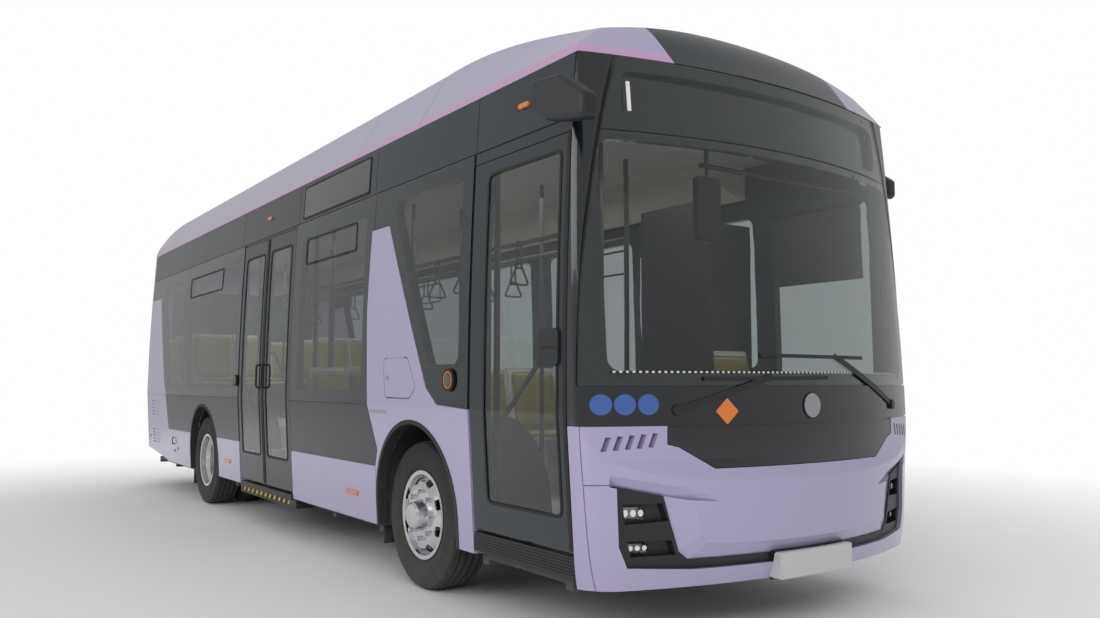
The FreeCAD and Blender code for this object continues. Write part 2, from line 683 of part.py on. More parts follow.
def front_mask():
    """Black panels below the windscreen, the corner pillars and the frame behind the screen."""
    mask = whole(MASK_HALF)
    lower = nose_shell(bumper_form, SCREEN_INSET, SKIN_T).common(nose_zone(offset(mask, -PANEL_GAP)))
    lower = lower.fuse(nose_shell(bumper_form, SKIN_T, NOSE_T).common(nose_zone(offset(mask, -SEAT_GAP))))
    band = nose_shell(screen_form, 0.0, SKIN_T)
    band = band.common(box(4200, 4900, -1300, 1300, MASK_Z + PANEL_GAP, SCREEN_LOW_Z - PANEL_GAP))
    backing = nose_shell(screen_form, SKIN_T, NOSE_T)
    backing = backing.common(box(4200, 4900, -1300, 1300, MASK_Z + SEAT_GAP, SCREEN_LOW_Z - PANEL_GAP))
    bond = SCREEN_INSET + SCREEN_T + SEAT_GAP
    frame_skin = nose_shell(screen_form, bond, NOSE_T)
    frame = frame_skin.common(box(4200, 4900, -1300, 1300, SCREEN_LOW_Z - PANEL_GAP, GUTTER_Z))
    for z0, z1, half in ((SCREEN_LOW_Z + 60, SIGN_Z - 45, 1090.0), (SIGN_Z + 45, GUTTER_Z - 70, 960.0)):
        frame = frame.cut(front_prism(yz_rect(half, z0, z1), 4350, 4900, 70.0))
    post_skin = nose_shell(screen_form, 0.0, bond + 1)
    posts = [post_skin.common(box(4200, SCREEN_POST_X, y0, y1, SCREEN_LOW_Z - PANEL_GAP, GUTTER_Z))
             for y0, y1 in ((-1300, -1000), (1000, 1300))]
    sign = screen_form(NOSE_T + SEAT_GAP)
    sign = sign.common(box(4300, 5000, -SIGN_HALF_W, SIGN_HALF_W, SIGN_Z + 30, GUTTER_Z - ROOF_T - SEAT_GAP))
    return [lower, fuse([band, backing, frame] + posts), sign]


def windshield():
    """The screen and, above a joint, the dark pane in front of the route sign."""
    skin = nose_shell(screen_form, SCREEN_INSET, SCREEN_INSET + SCREEN_T)
    half_gap = PANEL_GAP / 2
    low = skin.common(box(SCREEN_POST_X + 2, 4900, -1300, 1300, SCREEN_LOW_Z, SIGN_Z - half_gap))
    high = skin.common(box(SCREEN_POST_X + 2, 4900, -1300, 1300, SIGN_Z + half_gap, GUTTER_Z - 3))
    return [low, high]


# Roof: flat panel between the walls, fairings over its edges, front dome and rear cap

FAIRING_FOOT_Y = half_width(GUTTER_Z)
FAIRING_KNEE = (1146.0, 2834.0)
FAIRING_SHOULDER = (970.0, 3147.0)
FAIRING_LIP = (925.0, 3160.0)
FAIRING_SEAMS = (CAP_X, -973.0, 1743.0, DOME_X)


def roof():
    panel = box(-HALF_L, SIDE_FRONT_X, -HALF_W, HALF_W, GUTTER_Z - ROOF_T, GUTTER_Z)
    ducts = []
    for side in (-1, 1):
        y_wall = side * HALF_W
        y_in = side * 760.0
        top = GUTTER_Z - ROOF_T
        points = [(y_wall, top), (y_wall, 2520.0), (side * 1050.0, 2490.0), (y_in, 2640.0), (y_in, top)]
        ducts.append(front_prism(points, -4400.0, 3250.0))
    brow = screen_form(NOSE_T + SEAT_GAP)
    brow = brow.common(box(SIDE_FRONT_X, 5000, -1300, 1300, GUTTER_Z - ROOF_T, GUTTER_Z))
    return fuse([fuse([panel] + ducts).common(BODY_SPACE), brow])


def roof_fairings():
    """Lilac side fairings in three lengths on each side."""
    t = FAIRING_T
    outer = [(FAIRING_FOOT_Y, GUTTER_Z + SEAT_GAP), FAIRING_KNEE, FAIRING_SHOULDER, FAIRING_LIP]
    inner = [(FAIRING_LIP[0], FAIRING_LIP[1] - t), (FAIRING_SHOULDER[0] - 8, FAIRING_SHOULDER[1] - t),
             (FAIRING_KNEE[0] - t, FAIRING_KNEE[1] - 4), (FAIRING_FOOT_Y - t, GUTTER_Z + SEAT_GAP)]
    made = []
    for a, b in zip(FAIRING_SEAMS, FAIRING_SEAMS[1:]):
        length = front_prism(outer + inner, a + PANEL_GAP / 2, b - PANEL_GAP / 2)
        made += both_sides(length)
    return made


def dome_section(x, shoulder_z, inset):
    y_foot = FAIRING_FOOT_Y - inset
    y_knee = FAIRING_KNEE[0] - inset
    y_top = FAIRING_SHOULDER[0] - inset * 0.9
    z_top = shoulder_z - inset
    z_knee = min(FAIRING_KNEE[1], z_top - 60)
    foot = GUTTER_Z + SEAT_GAP - (5.0 if inset else 0.0)
    crown = V(x, 0, CROWN_Z - inset - (FAIRING_SHOULDER[1] - shoulder_z) * 0.45)
    right = [V(x, -y_foot, foot), V(x, -y_knee, z_knee), V(x, -y_top, z_top)]
    left = [V(x, y_top, z_top), V(x, y_knee, z_knee), V(x, y_foot, foot)]
    edges = [
        Part.LineSegment(right[0], right[1]).toShape(),
        Part.LineSegment(right[1], right[2]).toShape(),
        Part.Arc(right[2], crown, left[0]).toShape(),
        Part.LineSegment(left[0], left[1]).toShape(),
        Part.LineSegment(left[1], left[2]).toShape(),
        Part.LineSegment(left[2], right[0]).toShape(),
    ]
    return Part.Wire(edges)


DOME_SWEEP = 84.0


def dome_body(inset):
    """Outer or inner form of the front dome: side sections limited by a turned nose profile."""
    start = DOME_X + PANEL_GAP / 2 - (5.0 if inset else 0.0)
    stations = ((start, 3147.0), (3487.0, 3106.0), (3922.0, 3030.0), (4246.0, 2962.0), (4560.0, 2900.0))
    along = Part.makeLoft([dome_section(x, z, inset) for x, z in stations], True, False)
    sagitta = SCREEN_LEVELS[-1][1] - CORNER_TOP_X
    bow = (FAIRING_FOOT_Y ** 2 + sagitta ** 2) / (2 * sagitta)
    axis_x = SCREEN_LEVELS[-1][1] - bow
    foot = GUTTER_Z + SEAT_GAP - (5.0 if inset else 0.0)
    front = SCREEN_LEVELS[-1][1] - inset
    curve = Part.BSplineCurve()
    curve.interpolate([V(front, 0, foot), V(4452.0 - inset, 0, 2880.0), V(4362.0 - inset, 0, 2993.0 - inset * 0.4),
                       V(4240.0 - inset * 0.7, 0, 3085.0 - inset), V(4070.0, 0, 3146.0 - inset),
                       V(3700.0, 0, CROWN_Z + 4 - inset)])
    edges = [
        curve.toShape(),
        Part.LineSegment(V(3700.0, 0, CROWN_Z + 4 - inset), V(axis_x, 0, CROWN_Z + 4 - inset)).toShape(),
        Part.LineSegment(V(axis_x, 0, CROWN_Z + 4 - inset), V(axis_x, 0, foot)).toShape(),
        Part.LineSegment(V(axis_x, 0, foot), V(front, 0, foot)).toShape(),
    ]
    turned = Part.Face(Part.Wire(edges)).revolve(V(axis_x, 0, 0), V(0, 0, 1), DOME_SWEEP)
    turned.rotate(V(axis_x, 0, 0), V(0, 0, 1), -DOME_SWEEP / 2)
    return along.common(turned)


DOME_SPLIT_FRONT_Y = 640.0
DOME_SPLIT_REAR_Y = 860.0


def front_dome():
    """The dome's lilac sides and its dark middle, divided by two slanting joints."""
    skin = dome_body(0.0).cut(dome_body(FAIRING_T))
    gap = PANEL_GAP / 2
    wide = Part.Face(Part.makePolygon([
        V(DOME_X - 10, -DOME_SPLIT_REAR_Y, GUTTER_Z - 10), V(4700, -DOME_SPLIT_FRONT_Y, GUTTER_Z - 10),
        V(4700, DOME_SPLIT_FRONT_Y, GUTTER_Z - 10), V(DOME_X - 10, DOME_SPLIT_REAR_Y, GUTTER_Z - 10),
        V(DOME_X - 10, -DOME_SPLIT_REAR_Y, GUTTER_Z - 10)])).extrude(V(0, 0, 500))
    narrow = Part.Face(Part.makePolygon([
        V(DOME_X - 10, -DOME_SPLIT_REAR_Y + gap, GUTTER_Z - 10), V(4700, -DOME_SPLIT_FRONT_Y + gap, GUTTER_Z - 10),
        V(4700, DOME_SPLIT_FRONT_Y - gap, GUTTER_Z - 10), V(DOME_X - 10, DOME_SPLIT_REAR_Y - gap, GUTTER_Z - 10),
        V(DOME_X - 10, -DOME_SPLIT_REAR_Y + gap, GUTTER_Z - 10)])).extrude(V(0, 0, 500))
    return skin.cut(wide), skin.common(narrow)


def rear_cap():
    """Lilac end of the roof, falling to the gutter over the rear panel."""
    def form(inset):
        foot = GUTTER_Z + SEAT_GAP - (5.0 if inset else 0.0)
        front = CAP_X - PANEL_GAP / 2 + (5.0 if inset else 0.0)
        section = Part.Face(dome_section(-HALF_L - 10, FAIRING_SHOULDER[1], inset))
        along = section.extrude(V(front + HALF_L + 10, 0, 0))
        curve = Part.BSplineCurve()
        top = CROWN_Z + 10
        curve.interpolate([V(-HALF_L + inset, 0, foot), V(-HALF_L + 40 + inset, 0, 2905.0),
                           V(-4570.0 + inset * 0.8, 0, 3040.0 - inset * 0.5), V(-4330.0, 0, 3120.0 - inset),
                           V(-3900.0, 0, top - inset)])
        edges = [
            curve.toShape(),
            Part.LineSegment(V(-3900.0, 0, top - inset), V(front, 0, top - inset)).toShape(),
            Part.LineSegment(V(front, 0, top - inset), V(front, 0, foot)).toShape(),
            Part.LineSegment(V(front, 0, foot), V(-HALF_L + inset, 0, foot)).toShape(),
        ]
        face = Part.Face(Part.Wire(edges))
        face.translate(V(0, -1300, 0))
        slab = face.extrude(V(0, 2600, 0))
        body = along.common(slab)
        corners = cylinder_corner(inset)
        return body.cut(corners)
    return form(0.0).cut(form(FAIRING_T))


def cylinder_corner(inset):
    """What lies outside the rounded rear corners, above the gutter."""
    r = REAR_CORNER_R - inset
    made = []
    for side in (-1, 1):
        y = FAIRING_FOOT_Y - inset
        y0, y1 = sorted((side * (y - r), side * (y + 50)))
        block = box(-HALF_L - 50, -HALF_L + inset + r, y0, y1, GUTTER_Z - 10, CROWN_Z + 50)
        pin = cylinder((-HALF_L + inset + r, side * (y - r), GUTTER_Z - 20), (0, 0, 1), r, 500)
        made.append(block.cut(pin))
    return fuse(made)


PACK_SPAN = ((-3500.0, -2300.0), (-2200.0, -1000.0), (700.0, 1900.0))
PACK_HALF_W = 800.0
PACK_TOP_Z = 3060.0
AIRCON_X = (-800.0, 500.0)
AIRCON_TOP_Z = 3110.0
FAN_R = 210.0


def roof_equipment():
    """Battery housings with ribbed lids, and the air-conditioning unit with its two fans."""
    foot = GUTTER_Z + SEAT_GAP
    made = []
    for a, b in PACK_SPAN:
        housing = box(a, b, -PACK_HALF_W, PACK_HALF_W, foot, PACK_TOP_Z - 20)
        edges = [e for e in housing.Edges if abs(e.Vertexes[0].Z - e.Vertexes[-1].Z) > 50]
        housing = housing.makeFillet(40.0, edges)
        ribs = [box(a + 60, b - 60, y, y + 60, PACK_TOP_Z - 21, PACK_TOP_Z) for y in range(-700, 700, 160)]
        made.append(fuse([housing] + ribs))
    a, b = AIRCON_X
    unit = front_prism([(-860, foot), (860, foot), (820, AIRCON_TOP_Z - 60), (740, AIRCON_TOP_Z),
                        (-740, AIRCON_TOP_Z), (-820, AIRCON_TOP_Z - 60)], a, b)
    for y in (-380, 380):
        x = (a + b) / 2
        unit = unit.cut(tube((x, y, AIRCON_TOP_Z - 45), (0, 0, 1), FAN_R, 60, 50))
        spokes = [box(x - FAN_R, x + FAN_R, y - 12, y + 12, AIRCON_TOP_Z - 46, AIRCON_TOP_Z - 30),
                  box(x - 12, x + 12, y - FAN_R, y + FAN_R, AIRCON_TOP_Z - 46, AIRCON_TOP_Z - 30)]
        unit = fuse([unit] + spokes)
    made.append(unit)
    return made


# Under the bus: rails, axles, floor and wheel boxes

CROSS_XS = (4180.0, 3420.0, 2100.0, 1300.0, 500.0, -300.0, -1100.0, -2650.0, -3450.0, -4250.0)
POST_XS = (4150.0, 3450.0, -2650.0, -3450.0)
CROSS_HALF = 30.0
SIDE_RAIL_H = 35.0
PACK_X = (-4560.0, -3560.0)


def underframe():
    """Two long rails with cross members, side rails behind the skirts and posts under the raised floors."""
    top = RAIL_TOP_Z
    low = top - RAIL_H
    y_side = half_width(SILL_Z) - WALL - 8
    members = [box(-4480, 4250, y, y + RAIL_W, low, top) for y in (-RAIL_Y, RAIL_Y - RAIL_W)]
    members += [box(x - CROSS_HALF, x + CROSS_HALF, -y_side, y_side, low + 15, top) for x in CROSS_XS]
    for x0, x1 in ((-1180, 2130), (3390, 4210), (-4280, -2620)):
        members += [box(x0, x1, y, y + 40, top - SIDE_RAIL_H, top) for y in (-y_side, y_side - 40)]
    for x in POST_XS:
        for y in (-RAIL_Y + 10, RAIL_Y - 60):
            members.append(box(x - 25, x + 25, y, y + 50, top - 5, floor_under(x) - SEAT_GAP))
    members += [tow_block(TOW_X[0], 1), tow_block(TOW_X[1], -1)]
    ramp_bay = box(RAMP_X[0] - SEAT_GAP, RAMP_X[1] + SEAT_GAP, -HALF_W, RAMP_BACK_Y + SEAT_GAP, 0, RAIL_TOP_Z + 1)
    return fuse(members).cut(ramp_bay)


RAMP_X = (-707.0, 715.0)
RAMP_Z = (247.0, SILL_Z - 4.0)
RAMP_BACK_Y = -752.0


TOW_X = (4235.0, -4465.0)
TOW_Z = 262.0
TOW_R = 16.0
TOW_L = 80.0


def tow_block(x, way):
    """Block between the rails' ends with the bore that takes a towing pin."""
    x0, x1 = sorted((x, x + way * TOW_L))
    block = box(x0, x1, -60, 60, TOW_Z - 26, TOW_Z + 26)
    end = min(x0, x1) if way > 0 else x1 - 30
    cross = box(end, end + 30, -RAIL_Y, RAIL_Y, TOW_Z - 24, RAIL_TOP_Z)
    return block.fuse(cross).cut(cylinder((x0 - 5, 0, TOW_Z), (1, 0, 0), TOW_R, TOW_L + 10))


def floor_top(x):
    """Height of the floor along the aisle."""
    if x > RAMP_HEAD_X:
        return FRONT_FLOOR_Z
    if x > RAMP_FOOT_X:
        return FLOOR_Z + (FRONT_FLOOR_Z - FLOOR_Z) * (x - RAMP_FOOT_X) / (RAMP_HEAD_X - RAMP_FOOT_X)
    if x > DECK_X:
        return FLOOR_Z
    if x > DECK_X - STEP_RUN:
        return (FLOOR_Z + DECK_Z) / 2
    return DECK_Z


def floor_under(x):
    return floor_top(x) - FLOOR_T


def floor_panel(x0, z0, x1, z1, half_y):
    """One board of the floor: level or sloping from (x0, z0) to (x1, z1)."""
    t = FLOOR_T
    a, b = x0 + SEAT_GAP / 2, x1 - SEAT_GAP / 2
    return side_prism([(a, z0), (b, z1), (b, z1 - t), (a, z0 - t)], -half_y, half_y).common(BODY_SPACE)


def floor():
    """Boards between the walls, narrow between the wheel boxes, with two steps up to the rear deck."""
    t = FLOOR_T
    step_z = (FLOOR_Z + DECK_Z) / 2
    wide = HALF_W
    narrow = WHEELBOX_Y - WHEELBOX_T - SEAT_GAP
    step_x = DECK_X - STEP_RUN
    reach = ARCH_R + WHEELBOX_T + SEAT_GAP
    deck_reach = math.sqrt(reach ** 2 - (DECK_Z - t - ARCH_Z) ** 2) + 1
    deck_back = REAR_AXLE_X - deck_reach
    tread_split = REAR_AXLE_X + reach
    arch_from, arch_to = FRONT_AXLE_X - reach, FRONT_AXLE_X + reach
    boards = [
        floor_panel(-HALF_L, DECK_Z, deck_back, DECK_Z, wide),
        floor_panel(deck_back, DECK_Z, step_x, DECK_Z, narrow),
        floor_panel(step_x, step_z, tread_split, step_z, narrow),
        floor_panel(tread_split, step_z, DECK_X, step_z, wide),
        floor_panel(DECK_X, FLOOR_Z, RAMP_FOOT_X, FLOOR_Z, wide),
        floor_panel(RAMP_FOOT_X, FLOOR_Z, arch_from, floor_top(arch_from), wide),
        floor_panel(arch_from, floor_top(arch_from), arch_to, floor_top(arch_to), narrow),
        floor_panel(arch_to, floor_top(arch_to), RAMP_HEAD_X, FRONT_FLOOR_Z, wide),
    ]
    upper_riser = box(step_x - t, step_x - SEAT_GAP / 2, -narrow, narrow, step_z - t, DECK_Z - t - SEAT_GAP)
    lower_riser = box(DECK_X - t, DECK_X - SEAT_GAP / 2, -wide, wide, FLOOR_Z - t, step_z - t - SEAT_GAP)
    front = floor_panel(RAMP_HEAD_X, FRONT_FLOOR_Z, SIDE_FRONT_X, FRONT_FLOOR_Z, wide)
    between_lamps = bumper_form(NOSE_T + SEAT_GAP).common(box(4000, 5000, -LAMP_INNER_Y, LAMP_INNER_Y, 0, 2000))
    behind_lamps = bumper_form(LAMP_FLOOR_INSET + SEAT_GAP)
    toe = between_lamps.fuse(behind_lamps)
    toe = toe.common(box(SIDE_FRONT_X + SEAT_GAP / 2, 5000, -1300, 1300, FRONT_FLOOR_Z - t, FRONT_FLOOR_Z))
    return boards + [upper_riser, lower_riser.common(BODY_SPACE), front, toe]


AXLE_SLOT = 170.0


def wheelhouses():
    """Bent sheet boxes over the wheels, closed at their inner ends."""
    made = []
    for x in (FRONT_AXLE_X, REAR_AXLE_X):
        y_out = half_width(SILL_Z) - WALL - SEAT_GAP
        outer = arch_solid(x, WHEELBOX_Y - WHEELBOX_T, y_out, ARCH_R + WHEELBOX_T)
        inner = arch_solid(x, WHEELBOX_Y, y_out + 50, ARCH_R)
        house = outer.cut(inner).common(box(-5000, 5000, 0, 1300, SILL_Z - 10, 2000))
        if x == REAR_AXLE_X:
            house = house.cut(box(x - AXLE_SLOT / 2, x + AXLE_SLOT / 2, 0, WHEELBOX_Y + 5, 0, AXLE_Z + AXLE_SLOT))
        made += both_sides(house)
    return made


def arch_trims():
    """Black lips round the arches and the flaps behind the wheels."""
    made = []
    for x in (FRONT_AXLE_X, REAR_AXLE_X):
        ring = arch_solid(x, half_width(SILL_Z) - WALL, 1300, ARCH_R - SEAT_GAP)
        ring = ring.cut(arch_solid(x, 1000, 1310, ARCH_R - ARCH_LIP))
        lip = ring.common(body_core(-4.0)).cut(body_core(WALL)).common(box(-5000, 5000, 0, 1400, SILL_Z, 1100))
        made += both_sides(lip)
    for x, z0, y0 in ((CROSS_XS[7] - CROSS_HALF - SEAT_GAP - 8, 131, 640),
                      (CROSS_XS[2] + CROSS_HALF + SEAT_GAP, 180, 700)):
        made += both_sides(box(x, x + 8, y0, 1100, z0, RAIL_TOP_Z - SIDE_RAIL_H - SEAT_GAP))
    return made


EYE_Z = (380.0, 480.0)
BEAM_Z = 165.0
HUB_REAR_END = 1000.0


def axles():
    """Front beam with its kingpin eyes, rear axle with the drive motor, both under the rails."""
    x, y = FRONT_AXLE_X, KINGPIN_Y
    eye_h = EYE_Z[1] - EYE_Z[0]
    beam_top = RAIL_TOP_Z - RAIL_H - SEAT_GAP
    beam = fuse([
        box(x - 50, x + 50, -620, 620, BEAM_Z, beam_top),
        cylinder((x, y, EYE_Z[0]), (0, 0, 1), 52, eye_h),
        cylinder((x, -y, EYE_Z[0]), (0, 0, 1), 52, eye_h),
        beam_end(1, beam_top), beam_end(-1, beam_top),
    ])
    for pin_y in (y, -y):
        beam = beam.cut(cylinder((x, pin_y, 300), (0, 0, 1), KINGPIN_R + HUB_PLAY, 300))
    x = REAR_AXLE_X
    saddles = [box(x - 60, x + 60, y0, y0 + RAIL_W, RAIL_TOP_Z + SEAT_GAP, AXLE_Z - 40)
               for y0 in (-RAIL_Y, RAIL_Y - RAIL_W)]
    rear = fuse([
        cylinder((x, -560, AXLE_Z), (0, 1, 0), 80, 1120),
        cylinder((x, -230, AXLE_Z), (0, 1, 0), 190, 460),
        cylinder((x, -HUB_REAR_END, AXLE_Z), (0, 1, 0), SPINDLE_R, 2 * HUB_REAR_END),
        cylinder((x - 60, 0, AXLE_Z), (-1, 0, 0), 150, 520),
    ] + saddles)
    return beam, rear


def beam_end(side, beam_top):
    """Rise of the front beam from its drop to the kingpin eye."""
    points = [(590, BEAM_Z), (590, beam_top), (610, beam_top), (790, 400), (860, EYE_Z[1]), (900, EYE_Z[1]),
              (900, EYE_Z[0] + 2), (868, EYE_Z[0] + 2), (650, BEAM_Z)]
    return front_prism([(side * y, z) for y, z in points], FRONT_AXLE_X - 45, FRONT_AXLE_X + 45)


def knuckle():
    """Left steering knuckle: two ears on the kingpin, a spindle and a brake caliper."""
    x, y, z = FRONT_AXLE_X, KINGPIN_Y, AXLE_Z
    ears = [cylinder((x, y, z0), (0, 0, 1), 46, 44) for z0 in (380 - 1 - 44, 480 + 1)]
    web = box(x - 40, x + 40, y + 56, y + 76, 335, 525)
    ties = [box(x - 36, x + 36, y, y + 60, z0, z0 + 44) for z0 in (380 - 1 - 44, 480 + 1)]
    pin = cylinder((x, y, 335), (0, 0, 1), KINGPIN_R, 190)
    spindle = cylinder((x, y + 60, z), (0, 1, 0), SPINDLE_R, 112)
    plate = cylinder((x, y + 75, z), (0, 1, 0), 130, 8)
    return fuse(ears + ties + [web, pin, spindle, plate])


# Wheels

def revolve_y(points, x, z):
    """A closed profile of (radius, y) points turned about a wheel's axis."""
    face = outline([(x + r, y, z) for r, y in points])
    return face.revolve(V(x, 0, z), V(0, 1, 0), 360)


BEAD_HALF_W = 96.7
SHOULDER_HALF_W = 123.0
CROWN_HALF_W = 104.0
BEAD_PLAY = 1.0


def tyre(x, y):
    """One tyre with full side walls and broken shoulders, its middle plane at y."""
    half = [(RIM_R + BEAD_PLAY, BEAD_HALF_W), (RIM_LIP_R + BEAD_PLAY, BEAD_HALF_W + 4),
            (TYRE_R - 105, TYRE_W / 2), (TYRE_R - 34, SHOULDER_HALF_W), (TYRE_R, CROWN_HALF_W)]
    profile = [(r, y + w) for r, w in half] + [(r, y - w) for r, w in reversed(half)]
    return revolve_y(profile, x, AXLE_Z)


def rim_barrel(y, w):
    """Profile points of a rim barrel with its two flanges, from the outer side inwards."""
    return [(RIM_LIP_R, y + w), (RIM_LIP_R, y + w - 10), (RIM_R, y + w - 14), (RIM_R - 4, y + w - 50),
            (RIM_R - 22, y + 20), (RIM_R - 22, y - 20), (RIM_R - 4, y - w + 50), (RIM_R, y - w + 14),
            (RIM_LIP_R, y - w + 10), (RIM_LIP_R, y - w), (RIM_R - 10, y - w + 2), (RIM_R - 14, y - w + 50),
            (RIM_R - 32, y - 24), (RIM_R - 32, y + 24), (RIM_R - 14, y + w - 50), (RIM_R - 10, y + w - 2)]


def hand_holes(x, y0, y1, radius):
    """Eight oval openings through a disc."""
    slots = []
    for i in range(8):
        angle = math.radians(22.5 + 45.0 * i)
        for way in (-1, 1):
            cx = x + radius * math.cos(angle) - way * 11 * math.sin(angle)
            cz = AXLE_Z + radius * math.sin(angle) + way * 11 * math.cos(angle)
            slots.append(cylinder((cx, y0, cz), (0, 1, 0), 21, y1 - y0))
    return fuse(slots)


def front_rim():
    """Left front wheel: the disc bulges outwards, with nut flange, hub and round cap."""
    x, y = FRONT_AXLE_X, FRONT_TRACK_Y
    w = 111.0
    barrel = revolve_y(rim_barrel(y, w), x, AXLE_Z)
    face_y = y + 118.0
    disc = revolve_y([(RIM_R - 12, face_y - 62), (RIM_R - 12, face_y - 48), (196, face_y - 6), (160, face_y),
                      (90, face_y), (90, face_y - 15), (158, face_y - 15), (190, face_y - 20)], x, AXLE_Z)
    disc = disc.cut(hand_holes(x, face_y - 70, face_y + 10, 203))
    bore = SPINDLE_R + HUB_PLAY
    hub = revolve_y([(bore, y + 4), (112, y + 4), (112, face_y - 14.2), (92, face_y - 14),
                     (92, face_y + 4), (78, face_y + 52), (66, face_y + 66), (0.0, face_y + 70),
                     (0.0, y + 90), (bore, y + 90)], x, AXLE_Z)
    nuts = []
    for i in range(8):
        angle = math.radians(45.0 * i)
        nuts.append(cylinder((x + NUT_CIRCLE_R * math.cos(angle), face_y - 1, AXLE_Z + NUT_CIRCLE_R * math.sin(angle)),
                             (0, 1, 0), 15, 29))
    return fuse([barrel, disc, hub] + nuts)


def rear_rim():
    """Left rear twin wheel: two barrels, with discs that meet between the tyres, and the hub."""
    x, y = REAR_AXLE_X, REAR_OUTER_Y
    y_in = y - TWIN_PITCH
    w = 111.0
    seat = (y + y_in) / 2
    barrels = [revolve_y(rim_barrel(y, w), x, AXLE_Z), revolve_y(rim_barrel(y_in, w), x, AXLE_Z)]
    discs = [
        revolve_y([(RIM_R - 7, seat + 56), (RIM_R - 7, seat + 40), (196, seat + 2), (160, seat), (96, seat),
                   (96, seat + 14), (158, seat + 14), (188, seat + 17)], x, AXLE_Z),
        revolve_y([(RIM_R - 7, seat - 56), (RIM_R - 7, seat - 40), (196, seat - 2), (160, seat), (96, seat),
                   (96, seat - 14), (158, seat - 14), (188, seat - 17)], x, AXLE_Z),
    ]
    holes = hand_holes(x, seat - 90, seat + 90, 203)
    bore = SPINDLE_R + HUB_PLAY
    hub = revolve_y([(bore, seat - 90), (120, seat - 90), (120, seat - 10), (97, seat - 10),
                     (97, seat + 90), (84, seat + 125), (0.0, seat + 128), (0.0, seat + 119),
                     (bore, seat + 119)], x, AXLE_Z)
    nuts = []
    for i in range(8):
        angle = math.radians(45.0 * i)
        nuts.append(cylinder((x + NUT_CIRCLE_R * math.cos(angle), seat + 13, AXLE_Z + NUT_CIRCLE_R * math.sin(angle)),
                             (0, 1, 0), 15, 30))
    return fuse([fuse(barrels + discs).cut(holes), hub] + nuts)


# Doors: leaves that swing inwards on arms about upright posts

def door_frame(x0, x1, z0, z1, glass):
    """A leaf's frame of a slanted and curved section, with its glass opening."""
    zone = rect(x0, x1, z0, z1)
    leaf = on_side(shell(DOOR_SET, DOOR_T + DOOR_SET), zone, -1)
    return leaf.cut(side_prism(glass, -1300, -900, 40.0))


def door_glass(glass):
    return on_side(shell(DOOR_SET + 2, DOOR_SET + 2 + GLASS_T), offset(glass, -SEAT_GAP), -1, 40.0)


def door_gear(post_x, pivot_x, z_low, z_top):
    """The post with an arm under the leaf and one over it, and the leaf's two pivot brackets."""
    floor_z = floor_top(post_x)
    low_z = floor_z + MOVE_GAP
    high_z = z_top + MOVE_GAP
    foot = floor_z + SEAT_GAP
    post = cylinder((post_x, POST_Y, foot), (0, 0, 1), POST_R, high_z + ARM_T - foot)
    arms = []
    brackets = []
    run = math.hypot(pivot_x - post_x, PIVOT_Y - POST_Y)
    slant = math.degrees(math.atan2(PIVOT_Y - POST_Y, pivot_x - post_x))
    for z, plate_z in ((low_z, z_low + MOVE_GAP), (high_z, z_top - MOVE_GAP - BRACKET_T)):
        bar = box(0, run, -ARM_HALF_W, ARM_HALF_W, z, z + ARM_T)
        bar.rotate(V(0, 0, 0), V(0, 0, 1), slant)
        bar.translate(V(post_x, POST_Y, 0))
        eye = cylinder((pivot_x, PIVOT_Y, z), (0, 0, 1), EYE_R, ARM_T)
        bore = cylinder((pivot_x, PIVOT_Y, z - 5), (0, 0, 1), PIN_R + HUB_PLAY, ARM_T + 10)
        arms.append(fuse([bar, eye]).cut(bore))
        wall_y = -(half_width(plate_z) - DOOR_T - DOOR_SET) - 2
        plate = box(pivot_x - 26, pivot_x + 26, wall_y, PIVOT_Y + ARM_HALF_W, plate_z, plate_z + BRACKET_T)
        pin_z = min(z, plate_z)
        pin = cylinder((pivot_x, PIVOT_Y, pin_z), (0, 0, 1), PIN_R, max(z + ARM_T, plate_z + BRACKET_T) - pin_z)
        brackets.append(plate.fuse(pin))
    return fuse([post] + arms), brackets


def leaf_set(hinge_x, far_x, z_low, z_top, glass):
    """Frame, glass and swing arm of a leaf whose trailing end is at hinge_x and which closes towards far_x.

    The post stands as far from the pivot as the leaf's leading edge does, measured along the bus, so
    that edge keeps close to the doorway's line, and the trailing end is short enough to pass the post.
    """
    way = 1 if far_x > hinge_x else -1
    near = hinge_x + way * DOOR_EDGE_GAP
    end = far_x - way * LEAF_GAP / 2
    x0, x1 = sorted((near, end))
    outer = PIVOT_DEPTH - DOOR_SET
    reach = POST_DEPTH - PIVOT_DEPTH
    span = x1 - x0 + POST_R + POST_PLAY
    lead = (span ** 2 + outer ** 2 - reach ** 2) / (2 * span)
    pivot_x = end - way * lead
    post_x = pivot_x - way * lead
    frame = door_frame(x0, x1, z_low, z_top, glass)
    swing, brackets = door_gear(post_x, pivot_x, z_low, z_top)
    frame = fuse([frame] + brackets)
    return frame, door_glass(glass), swing, post_x, pivot_x


BRACKET_T = 12.0
MID_SPLIT_X = (MID_DOOR[0] + MID_DOOR[1]) / 2
LEAF_RISE = 2 * MOVE_GAP + ARM_T
MID_LEAF_Z = (FLOOR_Z + LEAF_RISE, MID_DOOR_Z[1] - MOVE_GAP)
FRONT_LEAF_Z = (FRONT_FLOOR_Z + LEAF_RISE, FRONT_DOOR_Z[1] - MOVE_GAP)
LEAF_GLASS_Z = (600.0, 2325.0)
STILE = 78.0


def leaf_glass(a, b):
    return rect(a + STILE, b - STILE, *LEAF_GLASS_Z)


